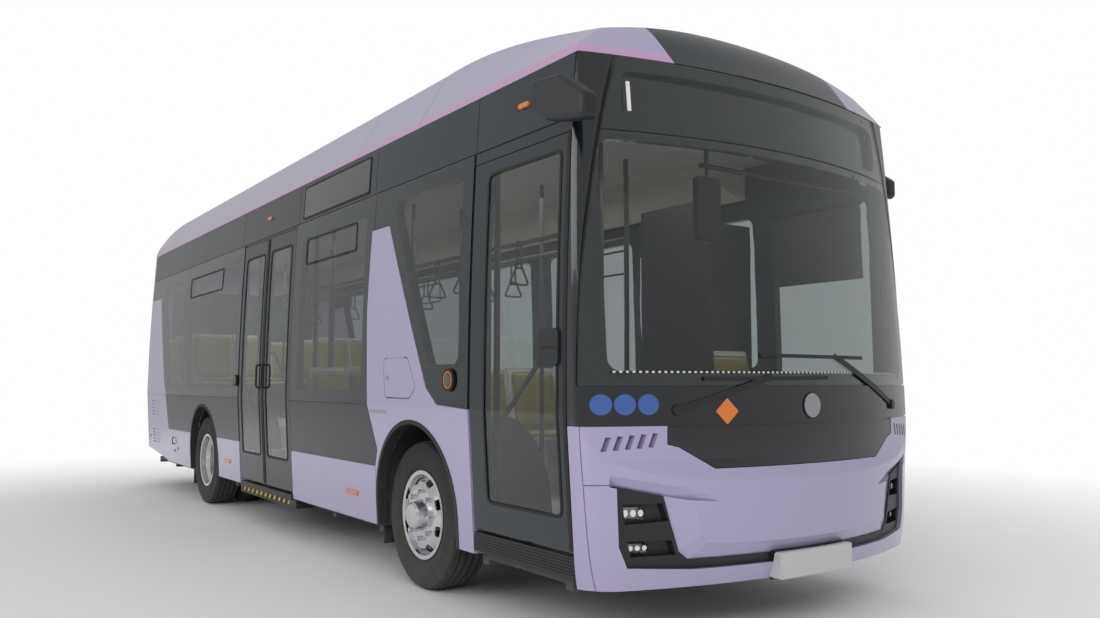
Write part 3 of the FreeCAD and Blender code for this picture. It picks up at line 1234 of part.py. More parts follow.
def door_sills():
    """Ribbed black sill under the front door, the ramp cassette under the middle one, door heads."""
    y = half_width(SILL_Z)
    front = box(FRONT_DOOR[0] + 3, FRONT_DOOR[1] - 3, -y, -y + 52, 334, FRONT_FLOOR_Z - SEAT_GAP)
    ribs = [box(FRONT_DOOR[0] + 3, FRONT_DOOR[1] - 3, -y - 4, -y + 1, z, z + 6) for z in range(342, 426, 14)]
    low = box(*RAMP_X, -y - 10, RAMP_BACK_Y, *RAMP_Z)
    high = box(MID_DOOR[0] + 56, MID_DOOR[1] - 5, -y - 10, -y + 57, SILL_Z - 5, FLOOR_Z - 2)
    cassette = low.fuse(high).cut(box(-640, 560, -y - 11, -y - 4, 262, SILL_Z - 14))
    return [fuse([front] + ribs), cassette]


# Cab and saloon

SEAT_W = 430.0
SEAT_D = 420.0
SEAT_H = 430.0
SEAT_BACK_H = 560.0
SEAT_SHELL_T = 22.0
PAD_T = 38.0


def seat(x, y, z):
    """One moulded seat: shell on a leg, with a cushion and a back pad laid in it."""
    w = SEAT_W / 2
    t = SEAT_SHELL_T
    pan_z = z + SEAT_H
    depth = SEAT_D
    side = [(0, pan_z), (depth, pan_z + 12), (depth, pan_z + 12 + t), (t, pan_z + t),
            (-90, pan_z + SEAT_BACK_H), (-90 - t, pan_z + SEAT_BACK_H), (-t, pan_z + t)]
    shell_side = outline([(px, -w, pz) for px, pz in side]).extrude(V(0, 2 * w, 0))
    leg = box(110, 250, -60, 60, z + SEAT_GAP, pan_z + 8)
    frame = fuse([shell_side, leg])

    def pan_top(px):
        return pan_z + t + 12.0 * (px - t) / (depth - t) + SEAT_GAP

    cushion = outline([(px, -w + 18, pan_top(px) + up) for px, up in
                       ((30, 0), (depth - 12, 0), (depth - 12, PAD_T), (30, PAD_T))])
    cushion = cushion.extrude(V(0, 2 * w - 36, 0))
    slope = (-90 - t) / (SEAT_BACK_H - t)
    base = pan_z + t + PAD_T + 20
    top = pan_z + SEAT_BACK_H - 40

    def back_x(pz):
        return t + slope * (pz - pan_z - t) + SEAT_GAP

    back = outline([(px, -w + 18, pz) for px, pz in
                    [(back_x(base), base), (back_x(top), top), (back_x(top) + PAD_T, top), (back_x(base) + PAD_T, base)]])
    back = back.extrude(V(0, 2 * w - 36, 0))
    pieces = [frame, cushion, back]
    for piece in pieces:
        piece.translate(V(x, y, 0))
    return pieces


SEAT_OUTER_Y = 905.0
SEAT_INNER_Y = 465.0


def seat_places():
    """Seats by row: place along the bus, places across it and the floor's height."""
    pair = (SEAT_INNER_Y, SEAT_OUTER_Y)
    both = (-SEAT_OUTER_Y, -SEAT_INNER_Y, SEAT_INNER_Y, SEAT_OUTER_Y)
    rows = [(x, pair, FLOOR_Z) for x in (-700.0, 60.0, 820.0, 1580.0)]
    rows += [(x, (-SEAT_OUTER_Y,), FLOOR_Z) for x in (860.0, 1580.0)]
    rows += [(x, both, DECK_Z) for x in (-2750.0, -3500.0)]
    rows.append((-4380.0, (-900.0, -450.0, 0.0, 450.0, 900.0), DECK_Z))
    return rows


def seats():
    frames, pads = [], []
    for x, ys, z in seat_places():
        for y in ys:
            frame, cushion, back = seat(x, y, z)
            frames.append(frame)
            pads += [cushion, back]
    driver, cushion, back = seat(3560.0, 640.0, FRONT_FLOOR_Z)
    frames.append(driver)
    pads += [cushion, back]
    return frames, pads


STANCHION_R = 17.0
STANCHION_Y = 232.0
CEILING_Z = GUTTER_Z - ROOF_T
RAIL_HANG_Z = 2180.0
DOOR_POST = (3238.0, -170.0)


def handrails():
    """Stanchions from floor to ceiling, with two long rails under the ceiling."""
    made = []
    for side in (-1, 1):
        y = side * STANCHION_Y
        rail = cylinder((-3900, y, RAIL_HANG_Z), (1, 0, 0), STANCHION_R, 6900)
        posts = []
        for x in (-3800.0, -2250.0, -1000.0, 760.0, 2000.0, 3000.0):
            if side < 0 and -900 < x < 700:
                continue
            z = max(floor_top(x - STANCHION_R), floor_top(x + STANCHION_R)) + SEAT_GAP
            posts.append(cylinder((x, y, z), (0, 0, 1), STANCHION_R, CEILING_Z - SEAT_GAP - z))
        made += posts + solids([rail.cut(fuse([grip_clear(post) for post in posts]))])
    x, y = DOOR_POST
    z = floor_top(x + STANCHION_R) + SEAT_GAP
    made.append(cylinder((x, y, z), (0, 0, 1), STANCHION_R, CEILING_Z - SEAT_GAP - z))
    return made


def grip_clear(post):
    """A post grown by the seat gap, where a rail meets it."""
    box_of = post.BoundBox
    centre = box_of.Center
    return cylinder((centre.x, centre.y, box_of.ZMin), (0, 0, 1), STANCHION_R + SEAT_GAP, box_of.ZLength)


CAB_WALL_X = 3270.0
CAB_WALL_T = 30.0
CAB_DOOR_X = 3874.0
CAB_SIDE_Y = 130.0
CAB_TOP_Z = 2300.0


def cab_partition():
    """Wall behind the driver and the tall cab door beside the seat."""
    z0 = FRONT_FLOOR_Z + SEAT_GAP
    y1 = half_width(BELT_Z) - WALL - 60
    inner_x = CAB_WALL_X + CAB_WALL_T
    wall = box(CAB_WALL_X, inner_x, CAB_SIDE_Y, y1, z0, CAB_TOP_Z)
    door = side_prism([(inner_x, z0), (CAB_DOOR_X, z0), (CAB_DOOR_X, CAB_TOP_Z - 60), (CAB_DOOR_X - 80, CAB_TOP_Z),
                       (inner_x, CAB_TOP_Z)], CAB_SIDE_Y, CAB_SIDE_Y + CAB_WALL_T)
    return wall.fuse(door)


MIRROR_AT = (4470.0, -470.0, 2080.0)
MIRROR_SIZE = (38.0, 154.0, 313.0)
MIRROR_STALK_R = 9.0
BLIND_X = 4395.0
BLIND_Y = (-437.0, 859.0)
BLIND_Z = 2318.0
BLIND_R = 13.0


def cab_fittings():
    """Inside mirror on its stalk and the roller blind, both hung from the route sign."""
    x, y, z = MIRROR_AT
    depth, width, height = MIRROR_SIZE
    top = SIGN_Z + 30 - SEAT_GAP
    housing = front_prism([(y - width / 2, z - height / 2), (y + width / 2, z - height / 2),
                           (y + width / 2, z + height / 2), (y - width / 2, z + height / 2)],
                          x - depth / 2, x + depth / 2, 20.0)
    stalk = cylinder((x, y, z), (0, 0, 1), MIRROR_STALK_R, top - z)
    y0, y1 = BLIND_Y
    roller = cylinder((BLIND_X, y0, BLIND_Z), (0, 1, 0), BLIND_R, y1 - y0)
    hangers = [box(BLIND_X - 4, BLIND_X + 4, y - 12, y + 12, BLIND_Z, top) for y in (y0 + 40, y1 - 40)]
    return [housing.fuse(stalk), fuse([roller] + hangers)]


def dashboard():
    """Driver's dash with its binnacle, a low ledge across the screen, column and wheel."""
    y_left = half_width(1000) - WALL - 70
    ledge = front_ledge(y_left)
    foot_z = FRONT_FLOOR_Z + SEAT_GAP
    desk = side_prism([(4130, 930), (4376, 1003), (4376, 760), (4300, foot_z), (4180, foot_z), (4150, 800)],
                      CAB_SIDE_Y + 40, y_left)
    binnacle = side_prism([(4150, 920), (4190, 1080), (4330, 1110), (4390, 990)], 420, 860, 20.0)
    column_dir = V(-0.62, 0, 0.78).normalize()
    foot = V(4160, 640, 880)
    column = Part.makeCylinder(32, 330, foot, column_dir)
    hub_at = foot + column_dir * 300
    ring = Part.makeTorus(225, 15, hub_at, column_dir)
    spokes = Part.makeCylinder(60, 30, hub_at - column_dir * 15, column_dir)
    arms = []
    for angle in (90, 210, 330):
        arm = Part.makeBox(225, 36, 12, V(0, -18, -6))
        arm.rotate(V(0, 0, 0), V(0, 0, 1), angle)
        turn = FreeCAD.Rotation(V(0, 0, 1), column_dir)
        arm.Placement = FreeCAD.Placement(hub_at, turn).multiply(arm.Placement)
        arms.append(arm)
    return fuse([ledge, desk, binnacle, column, ring, spokes] + arms)


def front_ledge(y_left):
    inside = bumper_form(NOSE_T + 1.0)
    ledge = inside.common(box(4376, 4900, -y_left, y_left, 880, 1000))
    return ledge


# Small pieces outside

def number_plates():
    """Two blank plates on their holders."""
    made = []
    holder = front_prism(yz_rect(266, 292, 418), 4640, HALF_L - 4, 12.0).cut(bumper_form(-SEAT_GAP))
    made.append(holder.fuse(front_prism(yz_rect(252, 296, 414), HALF_L - 5, HALF_L, 8.0)))
    niche_x = -HALF_L + NICHE_DEPTH
    made.append(front_prism(yz_rect(252, NICHE_Z - 57, NICHE_Z + 57), niche_x - 10, niche_x - SEAT_GAP, 8.0))
    return made


def wipers():
    """Two pantograph arms parked low across the screen."""
    made = []
    outer = screen_form(-8.0)
    inner = screen_form(-2.6)
    skin = outer.cut(inner)
    arms = (
        ((-791.0, 1096.0), (-265.0, 1251.0), (-655.0, 1240.0), (130.0, 1246.0)),
        ((837.0, 1100.0), (200.0, 1355.0), (-330.0, 1352.0), (470.0, 1350.0)),
    )
    for pivot, elbow, blade_a, blade_b in arms:
        arm = strip(pivot, elbow, 15.0)
        blade = strip(blade_a, blade_b, 9.0)
        arm_solid = skin.common(fuse([nose_zone(arm, 4450.0), nose_zone(blade, 4450.0)]))
        cap = screen_form(-16.0).cut(screen_form(0.0 - 0.3))
        cap = cap.common(cylinder((4400, pivot[0], pivot[1]), (1, 0, 0), 26, 500))
        made.append(fuse([arm_solid, cap]))
    return made


def strip(a, b, half):
    """Outline of a straight bar between two points in the YZ plane."""
    length = math.hypot(b[0] - a[0], b[1] - a[1])
    ny, nz = -(b[1] - a[1]) / length * half, (b[0] - a[0]) / length * half
    return [(a[0] + ny, a[1] + nz), (b[0] + ny, b[1] + nz), (b[0] - ny, b[1] - nz), (a[0] - ny, a[1] - nz)]


POD = [(4202.0, 2500.0), (4318.0, 2424.0), (4405.0, 2401.0), (4629.0, 2360.0), (4629.0, 2478.0),
       (4440.0, 2612.0), (4202.0, 2640.0)]
POD_Y = (1262.0, 1352.0)
POD_ARM_X = (4215.0, 4312.0)
POD_ARM_Z = (2530.0, 2600.0)
POD_ROUND = 28.0
POD_STEP_BACK = 330.0


def camera_pods():
    """Camera housings in place of mirrors: at the front pillar on the door side, further back by the driver."""
    housing = side_prism(POD, *POD_Y, POD_ROUND + 4)
    rims = [edge for edge in housing.Edges if abs(edge.Vertexes[0].Y - edge.Vertexes[-1].Y) < 1]
    housing = housing.makeFillet(POD_ROUND, rims)
    x0, x1 = POD_ARM_X
    z0, z1 = POD_ARM_Z
    arm = side_prism([(x0, z0 + 20), (x1, z0), (x1, z1 - 15), (x0, z1)], half_width(z1) - 5, POD_Y[0] + POD_ROUND)
    pod = housing.fuse(arm.cut(body_core(-SEAT_GAP)))
    door_side = mirrored(pod)
    pod.translate(V(-POD_STEP_BACK, 0, 0))
    return [pod, door_side]


MARKER_XS = (-4480.0, -3100.0, -1155.0, 1797.0)


def marker_lamps():
    """Amber side markers on both skirts and the slim lamps on the cant panels."""
    made = []
    for x in MARKER_XS:
        z = 482.0 if x > -4400 else 560.0
        half = 100.0 if x in MARKER_XS[2:] else 40.0
        zone = rect(x - half, x + half, z - 15, z + 15)
        lamp = on_side(body_core(-8.0).cut(body_core(-0.3)), zone, 1, 10.0)
        made += both_sides(lamp)
    for x in (-75.0, 3900.0):
        zone = rect(x - 45, x + 45, 2610, 2636)
        lamp = on_side(body_core(-14.0).cut(body_core(-0.3)), zone, -1, 10.0)
        made.append(lamp)
    return made


def traction_pack():
    """Heavy block under the rear deck."""
    return box(*PACK_X, -700, 700, RAIL_TOP_Z + SEAT_GAP, DECK_Z - FLOOR_T - SEAT_GAP)


# Build and write every piece

export("underframe", underframe())
export("floor", floor())
export("wheelhouses", wheelhouses())
export("arch_trims", arch_trims())
front_axle, rear_axle = axles()
export("front_axle", front_axle)
export("rear_axle", rear_axle)
export("traction_pack", traction_pack())

for side, word in ((-1, "right"), (1, "left")):
    export("lilac_panels_" + word, lilac_side(side))
    export("dark_wall_" + word, dark_side(side))
export("side_glass", window_panes(-1) + window_panes(1))

export("rear_panel", [rear_panel(), hatch_hinge()])
export("rear_window", rear_window())
export("rear_lamps", rear_lamps())
export("rear_hatch", rear_hatch())
export("roof", roof())
export("roof_fairings", roof_fairings())
dome_sides, dome_middle = front_dome()
export("front_dome", [dome_sides, rear_cap()])
export("dome_middle", dome_middle)
export("roof_equipment", roof_equipment())

export("bumper", bumper())
export("front_mask", front_mask())
export("windshield", windshield())
export("lamp_bezels", lamp_bezels())
export("headlamps", headlamps())
export("number_plates", number_plates())
export("wipers", wipers())
export("camera_pods", camera_pods())
export("marker_lamps", marker_lamps())
export("door_sills", door_sills())

seat_frames, seat_pads = seats()
export("seat_frames", seat_frames)
export("seat_pads", seat_pads)
export("handrails", handrails())
export("cab_partition", cab_partition())
export("dashboard", dashboard())
export("cab_fittings", cab_fittings())

export("charging_flap", charging_flap())
export("charging_inlet", charging_inlet())

mid_rear_glass = leaf_glass(MID_DOOR[0] + DOOR_EDGE_GAP, MID_SPLIT_X - LEAF_GAP / 2)
mid_fore_glass = leaf_glass(MID_SPLIT_X + LEAF_GAP / 2, MID_DOOR[1] - DOOR_EDGE_GAP)
front_glass = rect(3571.0, 4238.0, *LEAF_GLASS_Z)
leaves = (
    ("mid_door_rear", leaf_set(MID_DOOR[0], MID_SPLIT_X, *MID_LEAF_Z, mid_rear_glass)),
    ("mid_door_fore", leaf_set(MID_DOOR[1], MID_SPLIT_X, *MID_LEAF_Z, mid_fore_glass)),
    ("front_door", leaf_set(FRONT_DOOR[0], FRONT_DOOR[1] - MOVE_GAP / 2, *FRONT_LEAF_Z, front_glass)),
)
for name, (frame, glass, swing, post_x, pivot_x) in leaves:
    export(name + "_leaf", frame)
    export(name + "_glass", glass)
    export(name + "_arm", swing)

left_knuckle = knuckle()
left_rim = front_rim()
left_tyre = tyre(FRONT_AXLE_X, FRONT_TRACK_Y)
twin_rim = rear_rim()
twin_tyres = [tyre(REAR_AXLE_X, REAR_OUTER_Y), tyre(REAR_AXLE_X, REAR_OUTER_Y - TWIN_PITCH)]
for word, place in (("left", lambda s: s), ("right", mirrored)):
    export("knuckle_" + word, place(left_knuckle))
    export("front_rim_" + word, place(left_rim))
    export("front_tyre_" + word, place(left_tyre))
    export("rear_rim_" + word, place(twin_rim))
    export("rear_tyres_" + word, [place(s) for s in twin_tyres])
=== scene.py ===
import math

import bmesh
import bpy
from mathutils import Matrix, Vector


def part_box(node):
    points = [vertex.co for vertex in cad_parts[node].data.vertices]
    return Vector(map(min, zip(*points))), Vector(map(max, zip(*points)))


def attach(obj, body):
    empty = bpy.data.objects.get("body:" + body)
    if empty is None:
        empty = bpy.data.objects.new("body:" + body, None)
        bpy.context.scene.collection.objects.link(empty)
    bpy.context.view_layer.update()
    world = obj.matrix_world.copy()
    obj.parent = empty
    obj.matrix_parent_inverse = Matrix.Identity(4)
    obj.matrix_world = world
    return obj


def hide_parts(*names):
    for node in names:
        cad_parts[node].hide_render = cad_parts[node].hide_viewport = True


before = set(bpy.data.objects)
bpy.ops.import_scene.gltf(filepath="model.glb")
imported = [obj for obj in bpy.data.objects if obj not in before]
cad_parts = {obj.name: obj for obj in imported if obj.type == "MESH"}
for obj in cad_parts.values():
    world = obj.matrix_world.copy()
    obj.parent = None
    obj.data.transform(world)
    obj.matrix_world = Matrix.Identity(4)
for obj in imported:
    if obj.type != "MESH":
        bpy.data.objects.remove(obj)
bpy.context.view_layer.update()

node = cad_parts

# The camera stands low beside the front right corner, where the photograph was taken.
# Its place and lens were worked out from the wheels, the belt line and the door posts.
CAMERA_PLACE = (7.728, -3.690, 1.228)
CAMERA_HEADING = math.radians(145.106)
CAMERA_PITCH = math.radians(4.481)

bpy.ops.object.select_all(action="DESELECT")
bpy.ops.object.camera_add(location=CAMERA_PLACE)
camera = bpy.context.object
camera.data.lens = 30.13
camera.data.sensor_width = 36.0
camera.data.clip_end = 400.0
sight = Vector((
    math.cos(CAMERA_PITCH) * math.cos(CAMERA_HEADING),
    math.cos(CAMERA_PITCH) * math.sin(CAMERA_HEADING),
    math.sin(CAMERA_PITCH),
))
camera.rotation_euler = sight.to_track_quat("-Z", "Y").to_euler()
bpy.context.scene.camera = camera
bpy.context.scene.view_settings.view_transform = "Standard"

# A plain pale floor under the tyres, and a white surround behind it.
# The floor is one wide sheet that keeps the shadow of the bus and fades to white away from it.
def add_node(tree, kind, values=(), **settings):
    made = tree.nodes.new("ShaderNode" + kind)
    for key, value in settings.items():
        setattr(made, key, value)
    for key, value in dict(values).items():
        made.inputs[key].default_value = value
    return made


FLOOR_HALF = 60.0
FADE_START = 4.2
FADE_END = 9.0
SURROUND_LIGHT = 0.46

bpy.ops.mesh.primitive_plane_add(size=2 * FLOOR_HALF, location=(0, 0, -0.001))
studio_floor = bpy.context.object
studio_floor.name = "studio_floor"

floor_paint = bpy.data.materials.new("studio_floor")
floor_paint.use_nodes = True
floor_tree = floor_paint.node_tree
floor_surface = floor_tree.nodes["Principled BSDF"]
floor_surface.inputs["Base Color"].default_value = (0.96, 0.96, 0.96, 1)
floor_surface.inputs["Roughness"].default_value = 0.9
floor_place = add_node(floor_tree, "TexCoord")
floor_reach = add_node(floor_tree, "VectorMath", operation="LENGTH")
floor_fade = add_node(floor_tree, "MapRange", {"From Min": FADE_START, "From Max": FADE_END})
floor_path = add_node(floor_tree, "LightPath")
floor_mask = add_node(floor_tree, "Math", operation="MULTIPLY")
floor_white = add_node(floor_tree, "Emission", {"Strength": 1.0})
floor_mix = add_node(floor_tree, "MixShader")
floor_link = floor_tree.links.new
floor_link(floor_place.outputs["Object"], floor_reach.inputs[0])
floor_link(floor_reach.outputs["Value"], floor_fade.inputs["Value"])
floor_link(floor_fade.outputs[0], floor_mask.inputs[0])
floor_link(floor_path.outputs["Is Camera Ray"], floor_mask.inputs[1])
floor_link(floor_mask.outputs[0], floor_mix.inputs["Fac"])
floor_link(floor_surface.outputs[0], floor_mix.inputs[1])
floor_link(floor_white.outputs[0], floor_mix.inputs[2])
floor_link(floor_mix.outputs[0], floor_tree.nodes["Material Output"].inputs["Surface"])
studio_floor.data.materials.append(floor_paint)

world = bpy.data.worlds.new("studio")
bpy.context.scene.world = world
world.use_nodes = True
world_tree = world.node_tree
world_tree.nodes.clear()
world_out = add_node(world_tree, "OutputWorld")
lit = add_node(world_tree, "Background", {"Color": (1, 1, 1, 1), "Strength": SURROUND_LIGHT})
seen = add_node(world_tree, "Background", {"Color": (1, 1, 1, 1), "Strength": 1.0})
path = add_node(world_tree, "LightPath")
choose = add_node(world_tree, "MixShader")
world_tree.links.new(path.outputs["Is Camera Ray"], choose.inputs["Fac"])
world_tree.links.new(lit.outputs[0], choose.inputs[1])
world_tree.links.new(seen.outputs[0], choose.inputs[2])
world_tree.links.new(choose.outputs[0], world_out.inputs["Surface"])

# Soft boxes over and beside the bus, and strips of light under the ceiling of the saloon and the cab.
# The big ones are far enough away to shade the long side evenly.
def soft_box(name, place, target, size, watts, colour=(1, 1, 1), mirrored_in_paint=False):
    bpy.ops.object.light_add(type="AREA", location=place)
    lamp = bpy.context.object
    lamp.name = name
    lamp.data.shape = "RECTANGLE"
    lamp.data.size, lamp.data.size_y = size
    lamp.data.energy = watts
    lamp.data.color = colour
    lamp.rotation_euler = (Vector(target) - Vector(place)).to_track_quat("-Z", "Y").to_euler()
    lamp.visible_transmission = False
    lamp.visible_glossy = mirrored_in_paint
    return lamp


soft_box("front_box", (10.5, -5.5, 5.2), (3.5, 0, 1.4), (5.0, 3.0), 210)
soft_box("side_box", (0.5, -11.0, 5.5), (0, 0, 1.4), (12.0, 3.5), 220, mirrored_in_paint=True)
soft_box("top_box", (0.0, 0.0, 9.5), (0, 0, 2.5), (12.0, 5.0), 90)
soft_box("far_box", (1.0, 10.0, 5.0), (0, 0, 1.4), (10.0, 4.0), 120)
soft_box("rear_box", (-11.0, 1.0, 4.5), (-4.0, 0, 1.6), (4.0, 3.0), 140)
for lamp_x in (-3.0, -0.6, 1.8):
    soft_box("saloon_strip", (lamp_x, 0.0, 2.62), (lamp_x, 0.0, 0.0), (1.9, 0.5), 26, (1.0, 0.96, 0.88))
soft_box("cab_strip", (3.75, 0.1, 2.55), (3.75, 0.1, 0.0), (0.7, 1.2), 15, (1.0, 0.96, 0.9))

# Painted panels: lilac gloss on the skirts, pillars, roof edges and nose, over a clear coat.
# The paint has a faint orange peel, and a thin film of road dust low down.
def node_group(name, inputs, outputs):
    """A shader node group with named sockets: inputs as (kind, name, value), outputs as (kind, name)."""
    tree = bpy.data.node_groups.new(name, "ShaderNodeTree")
    for kind, label, value in inputs:
        made = tree.interface.new_socket(label, in_out="INPUT", socket_type="NodeSocket" + kind)
        made.default_value = value
    for kind, label in outputs:
        tree.interface.new_socket(label, in_out="OUTPUT", socket_type="NodeSocket" + kind)
    source = tree.nodes.new("NodeGroupInput")
    sink = tree.nodes.new("NodeGroupOutput")
    return tree, source, sink


def colour_variation():
    """Slow and fine changes of brightness over a surface."""
    tree, source, sink = node_group(
        "colour_variation",
        [("Color", "Colour", (0.5, 0.5, 0.5, 1)), ("Float", "Amount", 0.06), ("Float", "Scale", 2.0)],
        [("Color", "Colour"), ("Float", "Mask")],
    )
    link = tree.links.new
    place = add_node(tree, "TexCoord")
    noise = add_node(tree, "TexNoise", {"Detail": 6.0, "Roughness": 0.6})
    centred = add_node(tree, "Math", {1: -0.5}, operation="ADD")
    scaled = add_node(tree, "Math", operation="MULTIPLY")
    lifted = add_node(tree, "Math", {1: 1.0}, operation="ADD")
    shade = add_node(tree, "VectorMath", operation="SCALE")
    link(place.outputs["Object"], noise.inputs["Vector"])
    link(source.outputs["Scale"], noise.inputs["Scale"])
    link(noise.outputs["Fac"], centred.inputs[0])
    link(centred.outputs[0], scaled.inputs[0])
    link(source.outputs["Amount"], scaled.inputs[1])
    link(scaled.outputs[0], lifted.inputs[0])
    link(source.outputs["Colour"], shade.inputs[0])
    link(lifted.outputs[0], shade.inputs["Scale"])
    link(shade.outputs[0], sink.inputs["Colour"])
    link(noise.outputs["Fac"], sink.inputs["Mask"])
    return tree


def road_film():
    """Dust that thickens towards the ground, broken up by noise."""
    tree, source, sink = node_group(
        "road_film",
        [("Color", "Colour", (0.5, 0.5, 0.5, 1)), ("Color", "Dust", (0.30, 0.28, 0.25, 1)),
         ("Float", "Amount", 0.25), ("Float", "Height", 0.9)],
        [("Color", "Colour"), ("Float", "Mask")],
    )
    link = tree.links.new
    place = add_node(tree, "TexCoord")
    split = add_node(tree, "SeparateXYZ")
    fade = add_node(tree, "MapRange", {"From Min": 0.0, "To Min": 1.0, "To Max": 0.0})
    noise = add_node(tree, "TexNoise", {"Scale": 9.0, "Detail": 8.0, "Roughness": 0.65})
    patchy = add_node(tree, "Math", operation="MULTIPLY")
    amount = add_node(tree, "Math", operation="MULTIPLY", use_clamp=True)
    mixed = add_node(tree, "Mix", data_type="RGBA")
    link(place.outputs["Object"], split.inputs[0])
    link(split.outputs["Z"], fade.inputs["Value"])
    link(source.outputs["Height"], fade.inputs["From Max"])
    link(place.outputs["Object"], noise.inputs["Vector"])
    link(fade.outputs[0], patchy.inputs[0])
    link(noise.outputs["Fac"], patchy.inputs[1])
    link(patchy.outputs[0], amount.inputs[0])
    link(source.outputs["Amount"], amount.inputs[1])
    link(amount.outputs[0], mixed.inputs["Factor"])
    link(source.outputs["Colour"], mixed.inputs["A"])
    link(source.outputs["Dust"], mixed.inputs["B"])
    link(mixed.outputs["Result"], sink.inputs["Colour"])
    link(amount.outputs[0], sink.inputs["Mask"])
    return tree


def fine_relief():
    """Small bumps: orange peel on paint, grain on mouldings, pits on castings."""
    tree, source, sink = node_group(
        "fine_relief",
        [("Float", "Scale", 120.0), ("Float", "Strength", 0.1), ("Float", "Distance", 0.0005)],
        [("Vector", "Normal"), ("Float", "Height")],
    )
    link = tree.links.new
    place = add_node(tree, "TexCoord")
    noise = add_node(tree, "TexNoise", {"Detail": 3.0})
    bump = add_node(tree, "Bump")
    link(place.outputs["Object"], noise.inputs["Vector"])
    link(source.outputs["Scale"], noise.inputs["Scale"])
    link(noise.outputs["Fac"], bump.inputs["Height"])
    link(source.outputs["Strength"], bump.inputs["Strength"])
    link(source.outputs["Distance"], bump.inputs["Distance"])
    link(bump.outputs[0], sink.inputs["Normal"])
    link(noise.outputs["Fac"], sink.inputs["Height"])
    return tree


VARIATION = colour_variation()
FILM = road_film()
RELIEF = fine_relief()


def place_group(tree, group, **values):
    made = tree.nodes.new("ShaderNodeGroup")
    made.node_tree = group
    for key, value in values.items():
        made.inputs[key].default_value = value
    return made


def finish_material(name, colour, roughness, vary=0.06, vary_scale=2.0, dust=0.0, dust_height=0.9,
                    grain=120.0, grain_depth=0.0005, grain_strength=0.1, rough_swing=0.06, **shader):
    """A Principled material whose colour, roughness and relief come from the shared effects."""
    made = bpy.data.materials.new(name)
    made.use_nodes = True
    tree = made.node_tree
    link = tree.links.new
    bsdf = tree.nodes["Principled BSDF"]
    for key, value in shader.items():
        bsdf.inputs[key.replace("_", " ")].default_value = value
    variation = place_group(tree, VARIATION, Colour=(*colour, 1), Amount=vary, Scale=vary_scale)
    relief = place_group(tree, RELIEF, Scale=grain, Strength=grain_strength, Distance=grain_depth)
    spread = add_node(tree, "MapRange", {
        "To Min": roughness - rough_swing, "To Max": roughness + rough_swing})
    link(variation.outputs["Mask"], spread.inputs["Value"])
    link(relief.outputs["Normal"], bsdf.inputs["Normal"])
    if dust:
        film = place_group(tree, FILM, Amount=dust, Height=dust_height)
        dulled = add_node(tree, "Math", operation="MULTIPLY_ADD", use_clamp=True)
        dulled.inputs[1].default_value = 0.6
        link(variation.outputs["Colour"], film.inputs["Colour"])
        link(film.outputs["Colour"], bsdf.inputs["Base Color"])
        link(film.outputs["Mask"], dulled.inputs[0])
        link(spread.outputs[0], dulled.inputs[2])
        link(dulled.outputs[0], bsdf.inputs["Roughness"])
    else:
        link(variation.outputs["Colour"], bsdf.inputs["Base Color"])
        link(spread.outputs[0], bsdf.inputs["Roughness"])
    return made


def dress(material, *names):
    """Gives carried-over pieces their finish."""
    for name in names:
        node[name].data.materials.clear()
        node[name].data.materials.append(material)


lilac_paint = finish_material(
    "lilac_paint", (0.47, 0.42, 0.63), 0.30, vary=0.05, vary_scale=0.8, dust=0.10, dust_height=0.8,
    grain=260.0, grain_strength=0.05, Metallic=0.15, Coat_Weight=1.0, Coat_Roughness=0.04)
dress(lilac_paint, "lilac_panels_left", "lilac_panels_right", "bumper", "rear_panel", "rear_hatch",
      "charging_flap")


def painted_reflection_band():
    """A painted reflection strip: another colour up to a height, with a soft upper edge between two heights.
    """
    tree, source, sink = node_group(
        "painted_reflection_band",
        [("Color", "Colour", (0.5, 0.5, 0.5, 1)), ("Color", "Band", (0.6, 0.4, 0.6, 1)),
         ("Float", "Amount", 0.6), ("Float", "Low", 0.0), ("Float", "High", 1.0)],
        [("Color", "Colour"), ("Float", "Mask")],
    )
    link = tree.links.new
    place = add_node(tree, "TexCoord")
    split = add_node(tree, "SeparateXYZ")
    fade = add_node(tree, "MapRange", {"To Min": 1.0, "To Max": 0.0})
    amount = add_node(tree, "Math", operation="MULTIPLY")
    mixed = add_node(tree, "Mix", data_type="RGBA")
    link(place.outputs["Object"], split.inputs[0])
    link(split.outputs["Z"], fade.inputs["Value"])
    link(source.outputs["Low"], fade.inputs["From Min"])
    link(source.outputs["High"], fade.inputs["From Max"])
    link(fade.outputs[0], amount.inputs[0])
    link(source.outputs["Amount"], amount.inputs[1])
    link(amount.outputs[0], mixed.inputs["Factor"])
    link(source.outputs["Colour"], mixed.inputs["A"])
    link(source.outputs["Band"], mixed.inputs["B"])
    link(mixed.outputs["Result"], sink.inputs["Colour"])
    link(amount.outputs[0], sink.inputs["Mask"])
    return tree


def colour_through(material, group, **values):
    """Leads a material's colour through one more shared effect."""
    tree = material.node_tree
    colour = tree.nodes["Principled BSDF"].inputs["Base Color"]
    before = colour.links[0].from_socket
    placed = place_group(tree, group, **values)
    tree.links.new(before, placed.inputs["Colour"])
    tree.links.new(placed.outputs["Colour"], colour)


# Roof fairings and dome: lilac paint, with a pinker strip along the lower facet that is a painted reflection.
roof_paint_and_reflection = finish_material(
    "roof_paint_and_reflection", (0.47, 0.43, 0.63), 0.30, vary=0.05, vary_scale=0.8, grain=260.0, grain_strength=0.05,
    Metallic=0.15, Coat_Weight=1.0, Coat_Roughness=0.05)
colour_through(roof_paint_and_reflection, painted_reflection_band(), Band=(0.66, 0.36, 0.62, 1), Amount=0.75, Low=2.829, High=2.838)
dress(roof_paint_and_reflection, "roof_fairings", "front_dome")

